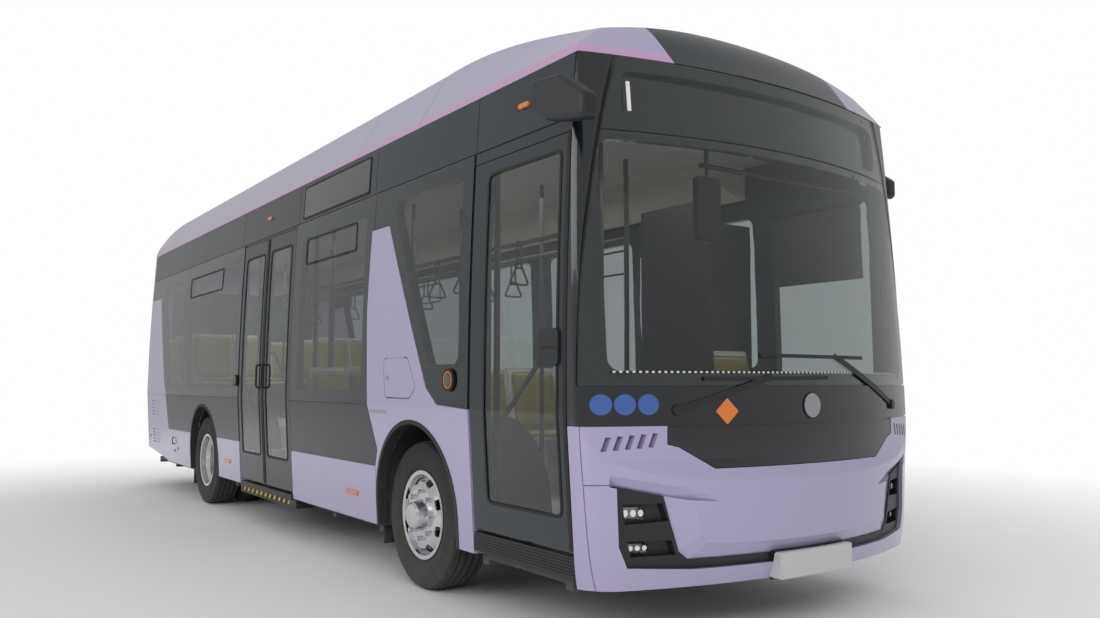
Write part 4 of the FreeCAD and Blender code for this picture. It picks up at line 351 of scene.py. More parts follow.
slate_paint = finish_material(
    "slate_paint", (0.012, 0.020, 0.027), 0.30, vary=0.10, vary_scale=0.9, dust=0.08, grain=260.0,
    grain_strength=0.05, Coat_Weight=0.3, Coat_Roughness=0.08)
dress(slate_paint, "dark_wall_left", "dark_wall_right", "dome_middle", "mid_door_rear_leaf",
      "mid_door_fore_leaf", "front_door_leaf")

black_gloss = finish_material(
    "black_gloss", (0.007, 0.011, 0.014), 0.16, vary=0.15, grain=300.0, grain_strength=0.03, Coat_Weight=0.8,
    Coat_Roughness=0.03)
dress(black_gloss, "front_mask")

# Glass: toughened panes, clear in the windscreen and doors and smoked behind the middle door.
# Each is a solid pane of its real thickness, so light bends through both of its faces.
def glass_material(name, tint, roughness=0.0, smear=0.003):
    made = bpy.data.materials.new(name)
    made.use_nodes = True
    tree = made.node_tree
    link = tree.links.new
    bsdf = tree.nodes["Principled BSDF"]
    bsdf.inputs["Transmission Weight"].default_value = 1.0
    bsdf.inputs["IOR"].default_value = 1.45
    variation = place_group(tree, VARIATION, Colour=(*tint, 1), Amount=0.03, Scale=1.5)
    spread = add_node(tree, "MapRange", {"To Min": roughness, "To Max": roughness + smear})
    link(variation.outputs["Colour"], bsdf.inputs["Base Color"])
    link(variation.outputs["Mask"], spread.inputs["Value"])
    link(spread.outputs[0], bsdf.inputs["Roughness"])
    return made


screen_glass = glass_material("screen_glass", (0.86, 0.91, 0.90))
door_glass = glass_material("door_glass", (0.74, 0.80, 0.80))
saloon_glass = glass_material("saloon_glass", (0.52, 0.57, 0.58))
dark_glass = glass_material("dark_glass", (0.05, 0.06, 0.065))
lens_glass = glass_material("lens_glass", (0.95, 0.97, 1.0))
dress(screen_glass, "windshield")
dress(door_glass, "front_door_glass", "mid_door_fore_glass", "mid_door_rear_glass")
dress(saloon_glass, "side_glass")
dress(dark_glass, "rear_window")
dress(lens_glass, "headlamps")

# Mouldings and rubber: black grained plastic, matt rubber, and the dark grey cab lining.
black_plastic = finish_material("black_plastic", (0.018, 0.020, 0.022), 0.42, vary=0.12, grain=900.0,
                                grain_strength=0.25)
dress(black_plastic, "cab_fittings", "camera_pods", "charging_inlet", "door_sills", "lamp_bezels", "wipers")
black_rubber = finish_material("black_rubber", (0.022, 0.022, 0.023), 0.62, vary=0.2, dust=0.3, grain=700.0,
                               grain_strength=0.3)
dress(black_rubber, "arch_trims")
cab_grey = finish_material("cab_grey", (0.055, 0.058, 0.062), 0.55, vary=0.1, grain=1100.0,
                           grain_strength=0.3)
dress(cab_grey, "dashboard")
partition_grey = finish_material("partition_grey", (0.022, 0.024, 0.027), 0.4, vary=0.1, grain=900.0,
                                 grain_depth=0.0001, grain_strength=0.02)
dress(partition_grey, "cab_partition")
amber_lens = finish_material("amber_lens", (0.80, 0.20, 0.02), 0.18, vary=0.1, Coat_Weight=0.8)
dress(amber_lens, "marker_lamps")
red_lens = finish_material("red_lens", (0.42, 0.012, 0.012), 0.16, vary=0.1, Coat_Weight=0.8)
dress(red_lens, "rear_lamps")
plate_white = finish_material("plate_white", (0.62, 0.62, 0.62), 0.4, vary=0.05, Coat_Weight=0.3)
dress(plate_white, "number_plates")

# Chassis: coated rails, axles, wheel boxes and the drive block, dusty from the road.
# The knuckles and door arms are castings and bright-coated steel.
chassis_black = finish_material("chassis_black", (0.022, 0.022, 0.023), 0.6, vary=0.2, dust=0.8,
                                grain=180.0, grain_strength=0.3)
dress(chassis_black, "underframe", "wheelhouses", "front_axle", "rear_axle", "traction_pack")
cast_steel = finish_material("cast_steel", (0.10, 0.10, 0.10), 0.5, vary=0.25, dust=0.5, grain=350.0,
                             grain_strength=0.5, Metallic=0.7)
dress(cast_steel, "knuckle_left", "knuckle_right")
door_steel = finish_material("door_steel", (0.06, 0.065, 0.07), 0.35, vary=0.1, grain=400.0, Metallic=0.3)
dress(door_steel, "mid_door_rear_arm", "mid_door_fore_arm", "front_door_arm")

# Saloon: cream ceiling, speckled floor covering, dark handrails, pale seat shells and olive cushions.
ceiling_cream = finish_material("ceiling_cream", (0.70, 0.67, 0.58), 0.5, vary=0.04, grain=600.0)
dress(ceiling_cream, "roof")
floor_cover = finish_material("floor_cover", (0.26, 0.26, 0.27), 0.6, vary=0.5, vary_scale=260.0, grain=500.0)
dress(floor_cover, "floor")
rail_grey = finish_material("rail_grey", (0.035, 0.037, 0.04), 0.38, vary=0.1, grain=500.0, Coat_Weight=0.3)
dress(rail_grey, "handrails")
seat_shell = finish_material("seat_shell", (0.42, 0.42, 0.41), 0.45, vary=0.06, grain=800.0)
dress(seat_shell, "seat_frames")
seat_fabric = finish_material("seat_fabric", (0.20, 0.175, 0.05), 0.85, vary=0.25, vary_scale=90.0,
                              grain=900.0, grain_strength=0.6, grain_depth=0.001)
dress(seat_fabric, "seat_pads")
housing_white = finish_material("housing_white", (0.52, 0.52, 0.52), 0.45, vary=0.06, grain=400.0)
dress(housing_white, "roof_equipment")

# Wheels: forged alloy, turned and polished, with eight oval hand holes.
polished_rim = finish_material("polished_rim", (0.72, 0.72, 0.74), 0.2, vary=0.08, vary_scale=5.0,
                               grain=500.0, grain_strength=0.08, Metallic=1.0)
dress(polished_rim, "front_rim_left", "front_rim_right", "rear_rim_left", "rear_rim_right")
tyre_rubber = finish_material("tyre_rubber", (0.020, 0.020, 0.021), 0.75, vary=0.2, dust=0.35,
                              grain=300.0, grain_strength=0.35)
dress(tyre_rubber, "front_tyre_left", "front_tyre_right", "rear_tyres_left", "rear_tyres_right")

# Tyres: black rubber with four grooves round the tread, notched shoulders and ribbed side walls.
# Each is moulded in one piece, so one profile is turned about the axle and the notches are pressed in.
def pick_faces(piece, test):
    """Selects the faces for which the test on centre and normal is true, and nothing else."""
    bpy.ops.object.mode_set(mode="OBJECT")
    mesh = piece.data
    for face in mesh.polygons:
        face.select = bool(test(face.center, face.normal))
    for edge in mesh.edges:
        edge.select = False
    for vertex in mesh.vertices:
        vertex.select = False
    for face in mesh.polygons:
        if face.select:
            for index in face.vertices:
                mesh.vertices[index].select = True
    bpy.ops.object.mode_set(mode="EDIT")
    bpy.ops.mesh.select_mode(type="FACE")


def finish_piece(piece, material, body, angle=35.0):
    """Clean normals, smooth faces, a finish and a body to ride on."""
    bpy.ops.object.select_all(action="DESELECT")
    piece.select_set(True)
    bpy.context.view_layer.objects.active = piece
    bpy.ops.object.transform_apply(location=True, rotation=True, scale=True)
    bpy.ops.object.mode_set(mode="EDIT")
    bpy.ops.mesh.select_all(action="SELECT")
    bpy.ops.mesh.remove_doubles(threshold=0.00002)
    bpy.ops.mesh.normals_make_consistent(inside=False)
    bpy.ops.object.mode_set(mode="OBJECT")
    bpy.ops.object.shade_smooth_by_angle(angle=math.radians(angle))
    piece.data.materials.clear()
    piece.data.materials.append(material)
    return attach(piece, body)


def turned_piece(name, profile, place, steps):
    """A closed profile of (radius, height) points turned about a line across the bus."""
    bpy.ops.object.select_all(action="DESELECT")
    mesh = bpy.data.meshes.new(name)
    points = [(radius, along, 0.0) for radius, along in profile]
    edges = [(i, (i + 1) % len(points)) for i in range(len(points))]
    mesh.from_pydata(points, edges, [])
    piece = bpy.data.objects.new(name, mesh)
    bpy.context.collection.objects.link(piece)
    piece.select_set(True)
    bpy.context.view_layer.objects.active = piece
    bpy.ops.object.mode_set(mode="EDIT")
    bpy.ops.mesh.select_all(action="SELECT")
    bpy.ops.mesh.spin(steps=steps, angle=math.tau, center=(0, 0, 0), axis=(0, 1, 0), use_auto_merge=True)
    bpy.ops.mesh.select_all(action="SELECT")
    bpy.ops.mesh.remove_doubles(threshold=0.0001)
    bpy.ops.mesh.normals_make_consistent(inside=False)
    bpy.ops.object.mode_set(mode="OBJECT")
    piece.location = place
    return piece


TYRE_STEPS = 108
TYRE_WIDTH = 0.265
TREAD_R = 0.4333
SHOULDER_R = 0.42
SHOULDER_Y = 0.076
NOTCH_EDGE = 0.0035
NOTCH_DEPTH = 0.006
GROOVE_DEPTH = 0.013
GROOVE_HALF = 0.0055
GROOVE_SLOPE = 0.002
GROOVES = (-0.068, -0.023, 0.023, 0.068)
half_wall = [
    (0.2490, 0.0965), (0.2620, 0.1003), (0.2760, 0.1085), (0.2770, 0.1120), (0.3000, 0.1235),
    (0.3285, 0.1321), (0.3500, 0.1303), (0.3520, 0.1285), (0.3760, 0.1262), (0.3780, 0.1249),
    (0.3990, 0.1228), (0.4210, 0.1120), (TREAD_R, 0.1036),
]
tread = []
for groove in reversed(GROOVES):
    for way in (1, -1):
        lip = (TREAD_R, groove + way * (GROOVE_HALF + GROOVE_SLOPE))
        foot = (TREAD_R - GROOVE_DEPTH, groove + way * GROOVE_HALF)
        tread += [lip, foot] if way > 0 else [foot, lip]
tyre_profile = half_wall + tread + [(radius, -along) for radius, along in reversed(half_wall)]
model_tyre = turned_piece("tyre_model", tyre_profile, (0, 0, 0), TYRE_STEPS)
bpy.context.view_layer.objects.active = model_tyre


def notch_here(centre, normal):
    step = int(round((math.atan2(centre.z, centre.x) % math.tau) / math.tau * TYRE_STEPS - 0.5))
    outer = math.hypot(centre.x, centre.z)
    return step % 2 == 0 and outer > SHOULDER_R and abs(centre.y) > SHOULDER_Y


pick_faces(model_tyre, notch_here)
bpy.ops.mesh.inset(thickness=NOTCH_EDGE, depth=-NOTCH_DEPTH)
bpy.ops.object.mode_set(mode="OBJECT")

TYRES = {
    "front_tyre_left": ("front_wheel_left", 1), "front_tyre_right": ("front_wheel_right", 1),
    "rear_tyres_left": ("rear_wheels_left", 2), "rear_tyres_right": ("rear_wheels_right", 2),
}
for tyre_name, (wheel, count) in TYRES.items():
    lowest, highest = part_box(tyre_name)
    centre = (lowest + highest) / 2
    spread = (highest.y - lowest.y - TYRE_WIDTH) / 2
    for number in range(count):
        fitted = model_tyre.copy()
        fitted.data = model_tyre.data.copy()
        fitted.name = "%s_tread_%d" % (tyre_name, number + 1)
        bpy.context.collection.objects.link(fitted)
        fitted.location = (centre.x, centre.y + (2 * number - 1) * spread * (count - 1), centre.z)
        finish_piece(fitted, tyre_rubber, wheel, 30.0)
        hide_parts(tyre_name)
bpy.data.objects.remove(model_tyre)

# Cushions: foam pads in an olive woven cover with a piped edge, laid in the moulded shells.
# One seat cushion and one back pad are stuffed by a short simulation, then copied to every seat.
PAD_WIDTH = 0.394
PAD_THICK = 0.038
PAD_CORNER = 0.011
FOAM_CELL = 0.010
PUFF_PRESSURE = 4.0
PUFF_STEPS = 20
PUFF_CAP = 0.009
PIPING_CORNER = 0.030
PIPING_THICK = 0.0032


def stuffed_pad(name, length):
    """A soft pad that lies flat, its back lower edge at the origin."""
    bpy.ops.object.select_all(action="DESELECT")
    bpy.ops.mesh.primitive_cube_add(size=1, location=(length / 2, 0, PAD_THICK / 2 - 0.002))
    pad = bpy.context.object
    pad.name = name
    pad.scale = (length - 0.010, PAD_WIDTH - 0.010, PAD_THICK - 0.008)
    bpy.ops.object.transform_apply(location=True, rotation=True, scale=True)
    bpy.ops.object.mode_set(mode="EDIT")
    bpy.ops.mesh.select_all(action="SELECT")
    bpy.ops.mesh.bevel(offset=PAD_CORNER, segments=3, affect="EDGES")
    bpy.ops.object.mode_set(mode="OBJECT")
    remesh = pad.modifiers.new("remesh", "REMESH")
    remesh.mode = "VOXEL"
    remesh.voxel_size = FOAM_CELL
    bpy.ops.object.modifier_apply(modifier="remesh")
    before = [vertex.co.copy() for vertex in pad.data.vertices]
    cloth = pad.modifiers.new("stuffing", "CLOTH")
    cloth.settings.use_pressure = True
    cloth.settings.uniform_pressure_force = PUFF_PRESSURE
    cloth.settings.effector_weights.gravity = 0.0
    for step in range(1, PUFF_STEPS + 1):
        bpy.context.scene.frame_set(step)
    bpy.ops.object.modifier_apply(modifier="stuffing")
    bpy.context.scene.frame_set(1)
    for vertex, start in zip(pad.data.vertices, before):
        move = vertex.co - start
        if move.length > PUFF_CAP:
            vertex.co = start + move.normalized() * PUFF_CAP
        vertex.co.z = max(vertex.co.z, 0.0005)
    piping = rounded_loop(name + "_piping", length - 0.004, PAD_WIDTH - 0.004, PIPING_CORNER, PIPING_THICK)
    piping.location = (length / 2, 0, PAD_THICK / 2)
    bpy.ops.object.select_all(action="DESELECT")
    piping.select_set(True)
    pad.select_set(True)
    bpy.context.view_layer.objects.active = pad
    bpy.ops.object.join()
    return pad


def tube(name, points, thickness, closed=False, sides=3):
    """A round bar along points, as a mesh with closed ends."""
    line = bpy.data.curves.new(name, "CURVE")
    line.dimensions = "3D"
    line.bevel_depth = thickness
    line.bevel_resolution = sides
    line.use_fill_caps = True
    spline = line.splines.new("POLY")
    spline.points.add(len(points) - 1)
    for place, point in zip(spline.points, points):
        place.co = (*point, 1.0)
    spline.use_cyclic_u = closed
    made = bpy.data.objects.new(name, line)
    bpy.context.collection.objects.link(made)
    bpy.ops.object.select_all(action="DESELECT")
    made.select_set(True)
    bpy.context.view_layer.objects.active = made
    bpy.ops.object.convert(target="MESH")
    return bpy.context.object


def rounded_loop(name, length, width, corner, thickness):
    """A bar bent to a rectangle with round corners, lying flat about the origin."""
    points = []
    for turn, (way_x, way_y) in enumerate(((1, 1), (-1, 1), (-1, -1), (1, -1))):
        for step in range(5):
            angle = math.radians(90.0 * turn + 22.5 * step)
            points.append((way_x * (length / 2 - corner) + corner * math.cos(angle),
                           way_y * (width / 2 - corner) + corner * math.sin(angle), 0.0))
    return tube(name, points, thickness, closed=True)


def islands(piece):
    """The boxes of the separate solids in a carried-over piece, as (lowest, highest)."""
    work = bmesh.new()
    work.from_mesh(piece.data)
    bmesh.ops.remove_doubles(work, verts=work.verts, dist=0.00001)
    work.verts.ensure_lookup_table()
    seen = set()
    boxes = []
    for start in work.verts:
        if start.index in seen:
            continue
        group, queue = [], [start]
        seen.add(start.index)
        while queue:
            here = queue.pop()
            group.append(here.co)
            for edge in here.link_edges:
                other = edge.other_vert(here)
                if other.index not in seen:
                    seen.add(other.index)
                    queue.append(other)
        boxes.append((Vector([min(co[i] for co in group) for i in range(3)]),
                      Vector([max(co[i] for co in group) for i in range(3)])))
    work.free()
    return boxes


SEAT_TILT = math.atan2(0.012, 0.398)
BACK_LEAN = math.atan2(0.112, 0.538)
CUSHION_LENGTH = 0.378
BACK_HEIGHT = 0.440
model_cushion = stuffed_pad("cushion_model", CUSHION_LENGTH)
model_back = stuffed_pad("back_model", BACK_HEIGHT / math.cos(BACK_LEAN))
for number, (lowest, highest) in enumerate(islands(node["seat_pads"])):
    flat = highest.z - lowest.z < 0.2
    if flat:
        source, turn = model_cushion, -SEAT_TILT
        start = Vector((lowest.x, (lowest.y + highest.y) / 2, lowest.z))
    else:
        source, turn = model_back, -(math.pi / 2 + BACK_LEAN)
        start = Vector((lowest.x + BACK_HEIGHT * math.tan(BACK_LEAN), (lowest.y + highest.y) / 2, lowest.z))
    pad = source.copy()
    pad.data = source.data.copy()
    pad.name = "seat_cushion_%02d" % number if flat else "back_cushion_%02d" % number
    bpy.context.collection.objects.link(pad)
    turned = Matrix.Rotation(turn, 4, "Y")
    if not flat:
        turned = turned @ Matrix.Scale(-1, 4, (0, 0, 1))
    pad.matrix_world = Matrix.Translation(start) @ turned
    finish_piece(pad, seat_fabric, "body", 60.0)
    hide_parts("seat_pads")
bpy.data.objects.remove(model_cushion)
bpy.data.objects.remove(model_back)

# Grab rims over the seat backs: a pale moulded hoop along the top and down both sides of each back.
# They are bent tube in a soft plastic coat, bolted to the shell behind.
RIM_DROP = 0.16
RIM_BEND = 0.03
RIM_THICK = 0.011
rim_pale = finish_material("rim_pale", (0.42, 0.43, 0.36), 0.45, vary=0.08, grain=900.0, grain_strength=0.2)
for number, (lowest, highest) in enumerate(islands(node["seat_pads"])):
    if highest.z - lowest.z < 0.2:
        continue
    rim_x = lowest.x - 0.006
    foot_x = rim_x + RIM_DROP * math.tan(BACK_LEAN)
    low_y, high_y = lowest.y - 0.008, highest.y + 0.008
    up_one_side = [(foot_x, low_y, highest.z - RIM_DROP), (rim_x, low_y, highest.z - 0.02),
                   (rim_x - 0.004, low_y + RIM_BEND, highest.z + 0.010)]
    down_the_other = [(x, low_y + high_y - y, z) for x, y, z in reversed(up_one_side)]
    rim = tube("rim", up_one_side + down_the_other, RIM_THICK, sides=4)
    rim.name = "grab_rim_%02d" % number
    finish_piece(rim, rim_pale, "body", 40.0)

# Hanging straps: a loop of dark webbing over the long rail, with a moulded grip at its foot.
# They hang in pairs along the aisle and are held to the rail by a small clamp.
RAIL_Z = 2.180
RAIL_Y = 0.232
STRAP_DROP = 0.17
STRAP_WIDTH = 0.026


def hanging_strap(number, x, y):
    parts = []
    for way in (-1, 1):
        bpy.ops.mesh.primitive_cube_add(size=1, location=(x, y + way * 0.019, RAIL_Z - STRAP_DROP / 2))
        web = bpy.context.object
        web.scale = (STRAP_WIDTH, 0.003, STRAP_DROP + 0.01)
        parts.append(web)
    grip_z = RAIL_Z - STRAP_DROP
    corners = ((-0.062, -0.115), (0.062, -0.115), (0.072, -0.098),
               (0.026, 0.0), (-0.026, 0.0), (-0.072, -0.098))
    grip = tube("grip", [(x, y + across, grip_z + up) for across, up in corners], 0.009, closed=True)
    parts.append(grip)
    bpy.ops.mesh.primitive_cylinder_add(radius=0.0215, depth=0.034, vertices=24, location=(x, y, RAIL_Z),
                                        rotation=(0, math.pi / 2, 0))
    clamp = bpy.context.object
    bpy.ops.object.mode_set(mode="EDIT")
    bpy.ops.mesh.select_all(action="SELECT")
    bpy.ops.mesh.bevel(offset=0.003, segments=2, affect="EDGES")
    bpy.ops.object.mode_set(mode="OBJECT")
    parts.append(clamp)
    bpy.ops.object.select_all(action="DESELECT")
    for part in parts:
        part.select_set(True)
    bpy.context.view_layer.objects.active = clamp
    bpy.ops.object.join()
    clamp.name = "strap_%02d" % number
    return finish_piece(clamp, rail_grey, "body", 35.0)


strap_number = 0
for strap_x in (-3.3, -2.7, -1.6, -0.5, 0.1, 1.2, 1.6, 2.4):
    for strap_way in (-1, 1):
        over_the_doorway = strap_way < 0 and -0.9 < strap_x < 0.0
        if over_the_doorway:
            continue
        hanging_strap(strap_number, strap_x, strap_way * RAIL_Y)
        strap_number += 1

# Vent sashes in the side windows, with their catches: the parts of the glass that tilt in at the top.
# Each is a rubber-edged frame glued in the pane, and follows the curve of the side.
SILL = 0.312
BELT = 1.077
SIDE_ARC = 25.5
HALF_WIDTH = 1.220
LEAN = 0.048
SIDE_STEP = 0.12


def side_y(z):
    """Half the bus's width at a height."""
    if z < BELT:
        return HALF_WIDTH - LEAN * (BELT - z) / (BELT - SILL)
    return HALF_WIDTH - SIDE_ARC + math.sqrt(SIDE_ARC ** 2 - (z - BELT) ** 2)


def outlined_sheet(name, points, radius, ring):
    """A flat sheet with round corners, left in edit mode; ring keeps only a border that wide."""
    bpy.ops.object.select_all(action="DESELECT")
    bpy.ops.mesh.primitive_circle_add(vertices=len(points), fill_type="NGON")
    piece = bpy.context.object
    piece.name = name
    for vertex, point in zip(piece.data.vertices, points):
        vertex.co = point
    bpy.ops.object.mode_set(mode="EDIT")
    bpy.ops.mesh.select_all(action="SELECT")
    if radius:
        bpy.ops.mesh.bevel(offset=radius, segments=4, affect="VERTICES")
        bpy.ops.mesh.select_all(action="SELECT")
    if ring:
        bpy.ops.mesh.inset(thickness=ring)
        bpy.ops.mesh.delete(type="FACE")
    return piece


def cut_across(axis, levels, longest):
    """Cuts the sheet in edit mode so that it can follow a curve along one axis."""
    start, end = min(levels), max(levels)
    cuts = int((end - start) / longest)
    for cut in range(1, cuts + 1):
        bpy.ops.mesh.select_all(action="SELECT")
        level = start + (end - start) * cut / (cuts + 1)
        bpy.ops.mesh.bisect(plane_co=(level, level, level), plane_no=[float(axis == i) for i in range(3)])
    bpy.ops.mesh.select_all(action="SELECT")


def side_piece(name, corners, material, body="body", side=-1, radius=0.015, thick=0.003, lift=0.0004,
               ring=0.0):
    """A sheet on the side wall: corners as (x, z)."""
    piece = outlined_sheet(name, [(x, 0.0, z) for x, z in corners], radius, ring)
    cut_across(2, [z for x, z in corners], SIDE_STEP)
    bpy.ops.mesh.extrude_region_move(TRANSFORM_OT_translate={"value": (0, thick, 0)})
    bpy.ops.object.mode_set(mode="OBJECT")
    for vertex in piece.data.vertices:
        vertex.co.y = side * (side_y(vertex.co.z) + lift + vertex.co.y)
    return finish_piece(piece, material, body, 40.0)


def rectangle(x0, x1, z0, z1):
    return [(x0, z0), (x1, z0), (x1, z1), (x0, z1)]


seam_black = finish_material("seam_black", (0.010, 0.011, 0.012), 0.55, vary=0.1, grain=900.0,
                             grain_strength=0.2)
SASH_FOOT = 2.115
SASH_RUBBER = 0.016
front_sash = rectangle(0.865, 1.840, SASH_FOOT, 2.323)
rear_sash = rectangle(-2.656, -1.417, SASH_FOOT, 2.331)
for way, word in ((-1, "right"), (1, "left")):
    for place, outline in (("front_", front_sash), ("rear_", rear_sash)):
        side_piece("vent_sash_" + place + word, outline, seam_black, side=way, ring=SASH_RUBBER, radius=0.03)
for way, word in ((-1, "right"), (1, "left")):
    for number, x in enumerate((1.05, 1.655)):
        side_piece("vent_catch_%s_%d" % (word, number + 1),
                   rectangle(x - 0.03, x + 0.03, SASH_FOOT + 0.003, SASH_FOOT + 0.015), seam_black,
                   side=way, radius=0.004, lift=0.003, thick=0.008)

# Side sign over the window by the middle door: a smoked pane in the roof edge, with no words on it.
# It is glued in a shallow frame, flush with the dark panel round it.
sign_pane = finish_material("sign_pane", (0.006, 0.008, 0.010), 0.08, vary=0.2, grain=300.0,
                            grain_strength=0.01, Coat_Weight=1.0)
SIGN_X = (0.760, 1.990)
SIGN_Z = (2.505, 2.735)
SIGN_SEAL = 0.015
sign_seal = rectangle(SIGN_X[0] - SIGN_SEAL, SIGN_X[1] + SIGN_SEAL,
                      SIGN_Z[0] - SIGN_SEAL, SIGN_Z[1] + SIGN_SEAL)
side_piece("side_sign", rectangle(*SIGN_X, *SIGN_Z), sign_pane, radius=0.018, thick=0.0025)
side_piece("side_sign_seal", sign_seal, seam_black, radius=0.022, ring=0.012, thick=0.004)

# Rubber edges of the doors: a lip on each leaf where two meet, and a seal round each door's glass.
# They are extruded rubber pressed on the frame of the leaf, and turn with it.
door_rubber = finish_material("door_rubber", (0.012, 0.012, 0.013), 0.6, vary=0.2, grain=600.0,
                              grain_strength=0.3)
LIP_WIDTH = 0.027
SEAL_LAP = 0.006
for lip_name, x, z0, z1, leaf_body in (
        ("lip_mid_rear", -0.104, 0.375, 2.438, "mid_rear_leaf"),
        ("lip_mid_fore", -0.073, 0.375, 2.438, "mid_fore_leaf"),
        ("lip_front_door", 4.284, 0.460, 2.392, "front_leaf")):
    side_piece(lip_name, rectangle(x, x + LIP_WIDTH, z0, z1), door_rubber, leaf_body, radius=0.004,
               thick=0.0035, lift=-0.0035)
for glass_name, leaf_body in (
        ("mid_door_rear_glass", "mid_rear_leaf"),
        ("mid_door_fore_glass", "mid_fore_leaf"),
        ("front_door_glass", "front_leaf")):
    lowest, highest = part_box(glass_name)
    outline = rectangle(lowest.x - SEAL_LAP, highest.x + SEAL_LAP, lowest.z - SEAL_LAP, highest.z + SEAL_LAP)
    side_piece(glass_name + "_seal", outline, door_rubber, leaf_body, radius=0.045, ring=0.016, thick=0.0028,
               lift=-0.0036)

# Door furniture: pull handles on the middle doors, a lock plate on the front one, and bars inside.
# The bars are bent steel tube, coated dark; the handles and the plate are moulded.
def bar_on_side(name, points, thickness, body, material):
    """A bent bar through (x, depth inside the skin, z) points."""
    made = tube(name, [(x, -(side_y(z) - depth), z) for x, depth, z in points], thickness, sides=4)
    made.name = name
    return finish_piece(made, material, body, 40.0)


PULL_THICK = 0.008
GRAB_THICK = 0.013
pull_line = ((0.004, 1.17), (-0.024, 1.18), (-0.028, 1.20), (-0.028, 1.34), (-0.024, 1.36), (0.004, 1.37))
for x, leaf_body in ((-0.150, "mid_rear_leaf"), (0.000, "mid_fore_leaf")):
    handle = [(x, depth, z) for depth, z in pull_line]
    bar_on_side("pull_" + leaf_body, handle, PULL_THICK, leaf_body, seam_black)
LOCK_THICK = 0.012
LOCK_LIFT = -0.004
side_piece("lock_plate", rectangle(4.087, 4.256, 1.297, 1.476), black_plastic, "front_leaf", radius=0.03,
           thick=LOCK_THICK, lift=LOCK_LIFT)
side_piece("lock_slot", rectangle(4.120, 4.222, 1.378, 1.394), seam_black, "front_leaf", radius=0.006,
           thick=0.002, lift=LOCK_LIFT + LOCK_THICK)
front_grab = [(3.560, 0.05, 0.95), (3.560, 0.080, 0.95), (3.620, 0.085, 1.02), (4.180, 0.085, 1.50),
              (4.235, 0.080, 1.55), (4.235, 0.05, 1.55)]
bar_on_side("grab_bar_front", front_grab, GRAB_THICK, "front_leaf", rail_grey)
for x0, x1, leaf_body in ((-0.690, -0.140, "mid_rear_leaf"), (0.540, -0.010, "mid_fore_leaf")):
    bend = 0.1 * (x1 - x0)
    leaf_grab = [(x0, 0.05, 0.98), (x0, 0.080, 0.98), (x0 + bend, 0.085, 1.03), (x1 - bend, 0.085, 1.42),
                 (x1, 0.080, 1.46), (x1, 0.05, 1.46)]
    bar_on_side("grab_bar_" + leaf_body, leaf_grab, GRAB_THICK, leaf_body, rail_grey)

# Push buttons beside the doors: a black cup with an orange ring and a domed cap.
# They are bolted from behind through the wall, so no screw shows.
def round_on_side(name, x, z, radius, material, thick=0.006, lift=0.0004, body="body", inset=0.0, side=-1):
    bpy.ops.object.select_all(action="DESELECT")
    bpy.ops.mesh.primitive_cylinder_add(radius=radius, depth=thick, vertices=40,
                                        location=(x, side * (side_y(z) + lift + thick / 2), z),
                                        rotation=(math.pi / 2, 0, 0))
    piece = bpy.context.object
    piece.name = name
    bpy.ops.object.transform_apply(location=True, rotation=True, scale=True)
    pick_faces(piece, lambda centre, normal: normal.y * side > 0.9)
    bpy.ops.mesh.inset(thickness=max(inset, radius * 0.08), depth=0.0)
    if inset:
        bpy.ops.mesh.extrude_region_move(TRANSFORM_OT_translate={"value": (0, -side * thick * 0.5, 0)})
    else:
        bpy.ops.transform.translate(value=(0, side * thick * 0.15, 0))
    bpy.ops.object.mode_set(mode="OBJECT")
    return finish_piece(piece, material, body, 35.0)


button_orange = finish_material("button_orange", (0.72, 0.20, 0.03), 0.35, vary=0.1, grain=700.0)
button_cap = finish_material("button_cap", (0.10, 0.10, 0.10), 0.3, vary=0.1, grain=700.0)
BUTTON_Z = 1.235
for number, (x, radius) in enumerate(((3.209, 0.065), (-0.826, 0.050))):
    round_on_side("button_cup_%d" % number, x, BUTTON_Z, radius, black_plastic, thick=0.014,
                  inset=radius * 0.18)
    round_on_side("button_ring_%d" % number, x, BUTTON_Z, radius * 0.74, button_orange, thick=0.013,
                  inset=radius * 0.14)
    round_on_side("button_cap_%d" % number, x, BUTTON_Z, radius * 0.52, button_cap, thick=0.014)

# Small fittings on the skirt: the flap's lock, a pull and a dot at the tail, and the side indicator.
# They are zinc and stainless parts, pressed into the panels.
bright_metal = finish_material("bright_metal", (0.50, 0.51, 0.53), 0.25, vary=0.1, grain=500.0, Metallic=1.0)
indicator = rectangle(2.135, 2.383, 1.030, 1.044)
for indicator_name, way in (("side_indicator", -1), ("side_indicator_left", 1)):
    side_piece(indicator_name, indicator, bright_metal, side=way, radius=0.006, thick=0.005)
round_on_side("flap_lock", 2.405, 1.250, 0.012, bright_metal, body="charging_flap", thick=0.004)
round_on_side("tail_dot", -3.214, 0.455, 0.012, seam_black, thick=0.004)
TAIL_PULL_X = -3.239
pull_line = ((0.003, 0.60), (-0.020, 0.595), (-0.020, 0.53), (0.003, 0.525))
bar_on_side("tail_pull", [(TAIL_PULL_X, depth, z) for depth, z in pull_line], 0.006, "body", seam_black)

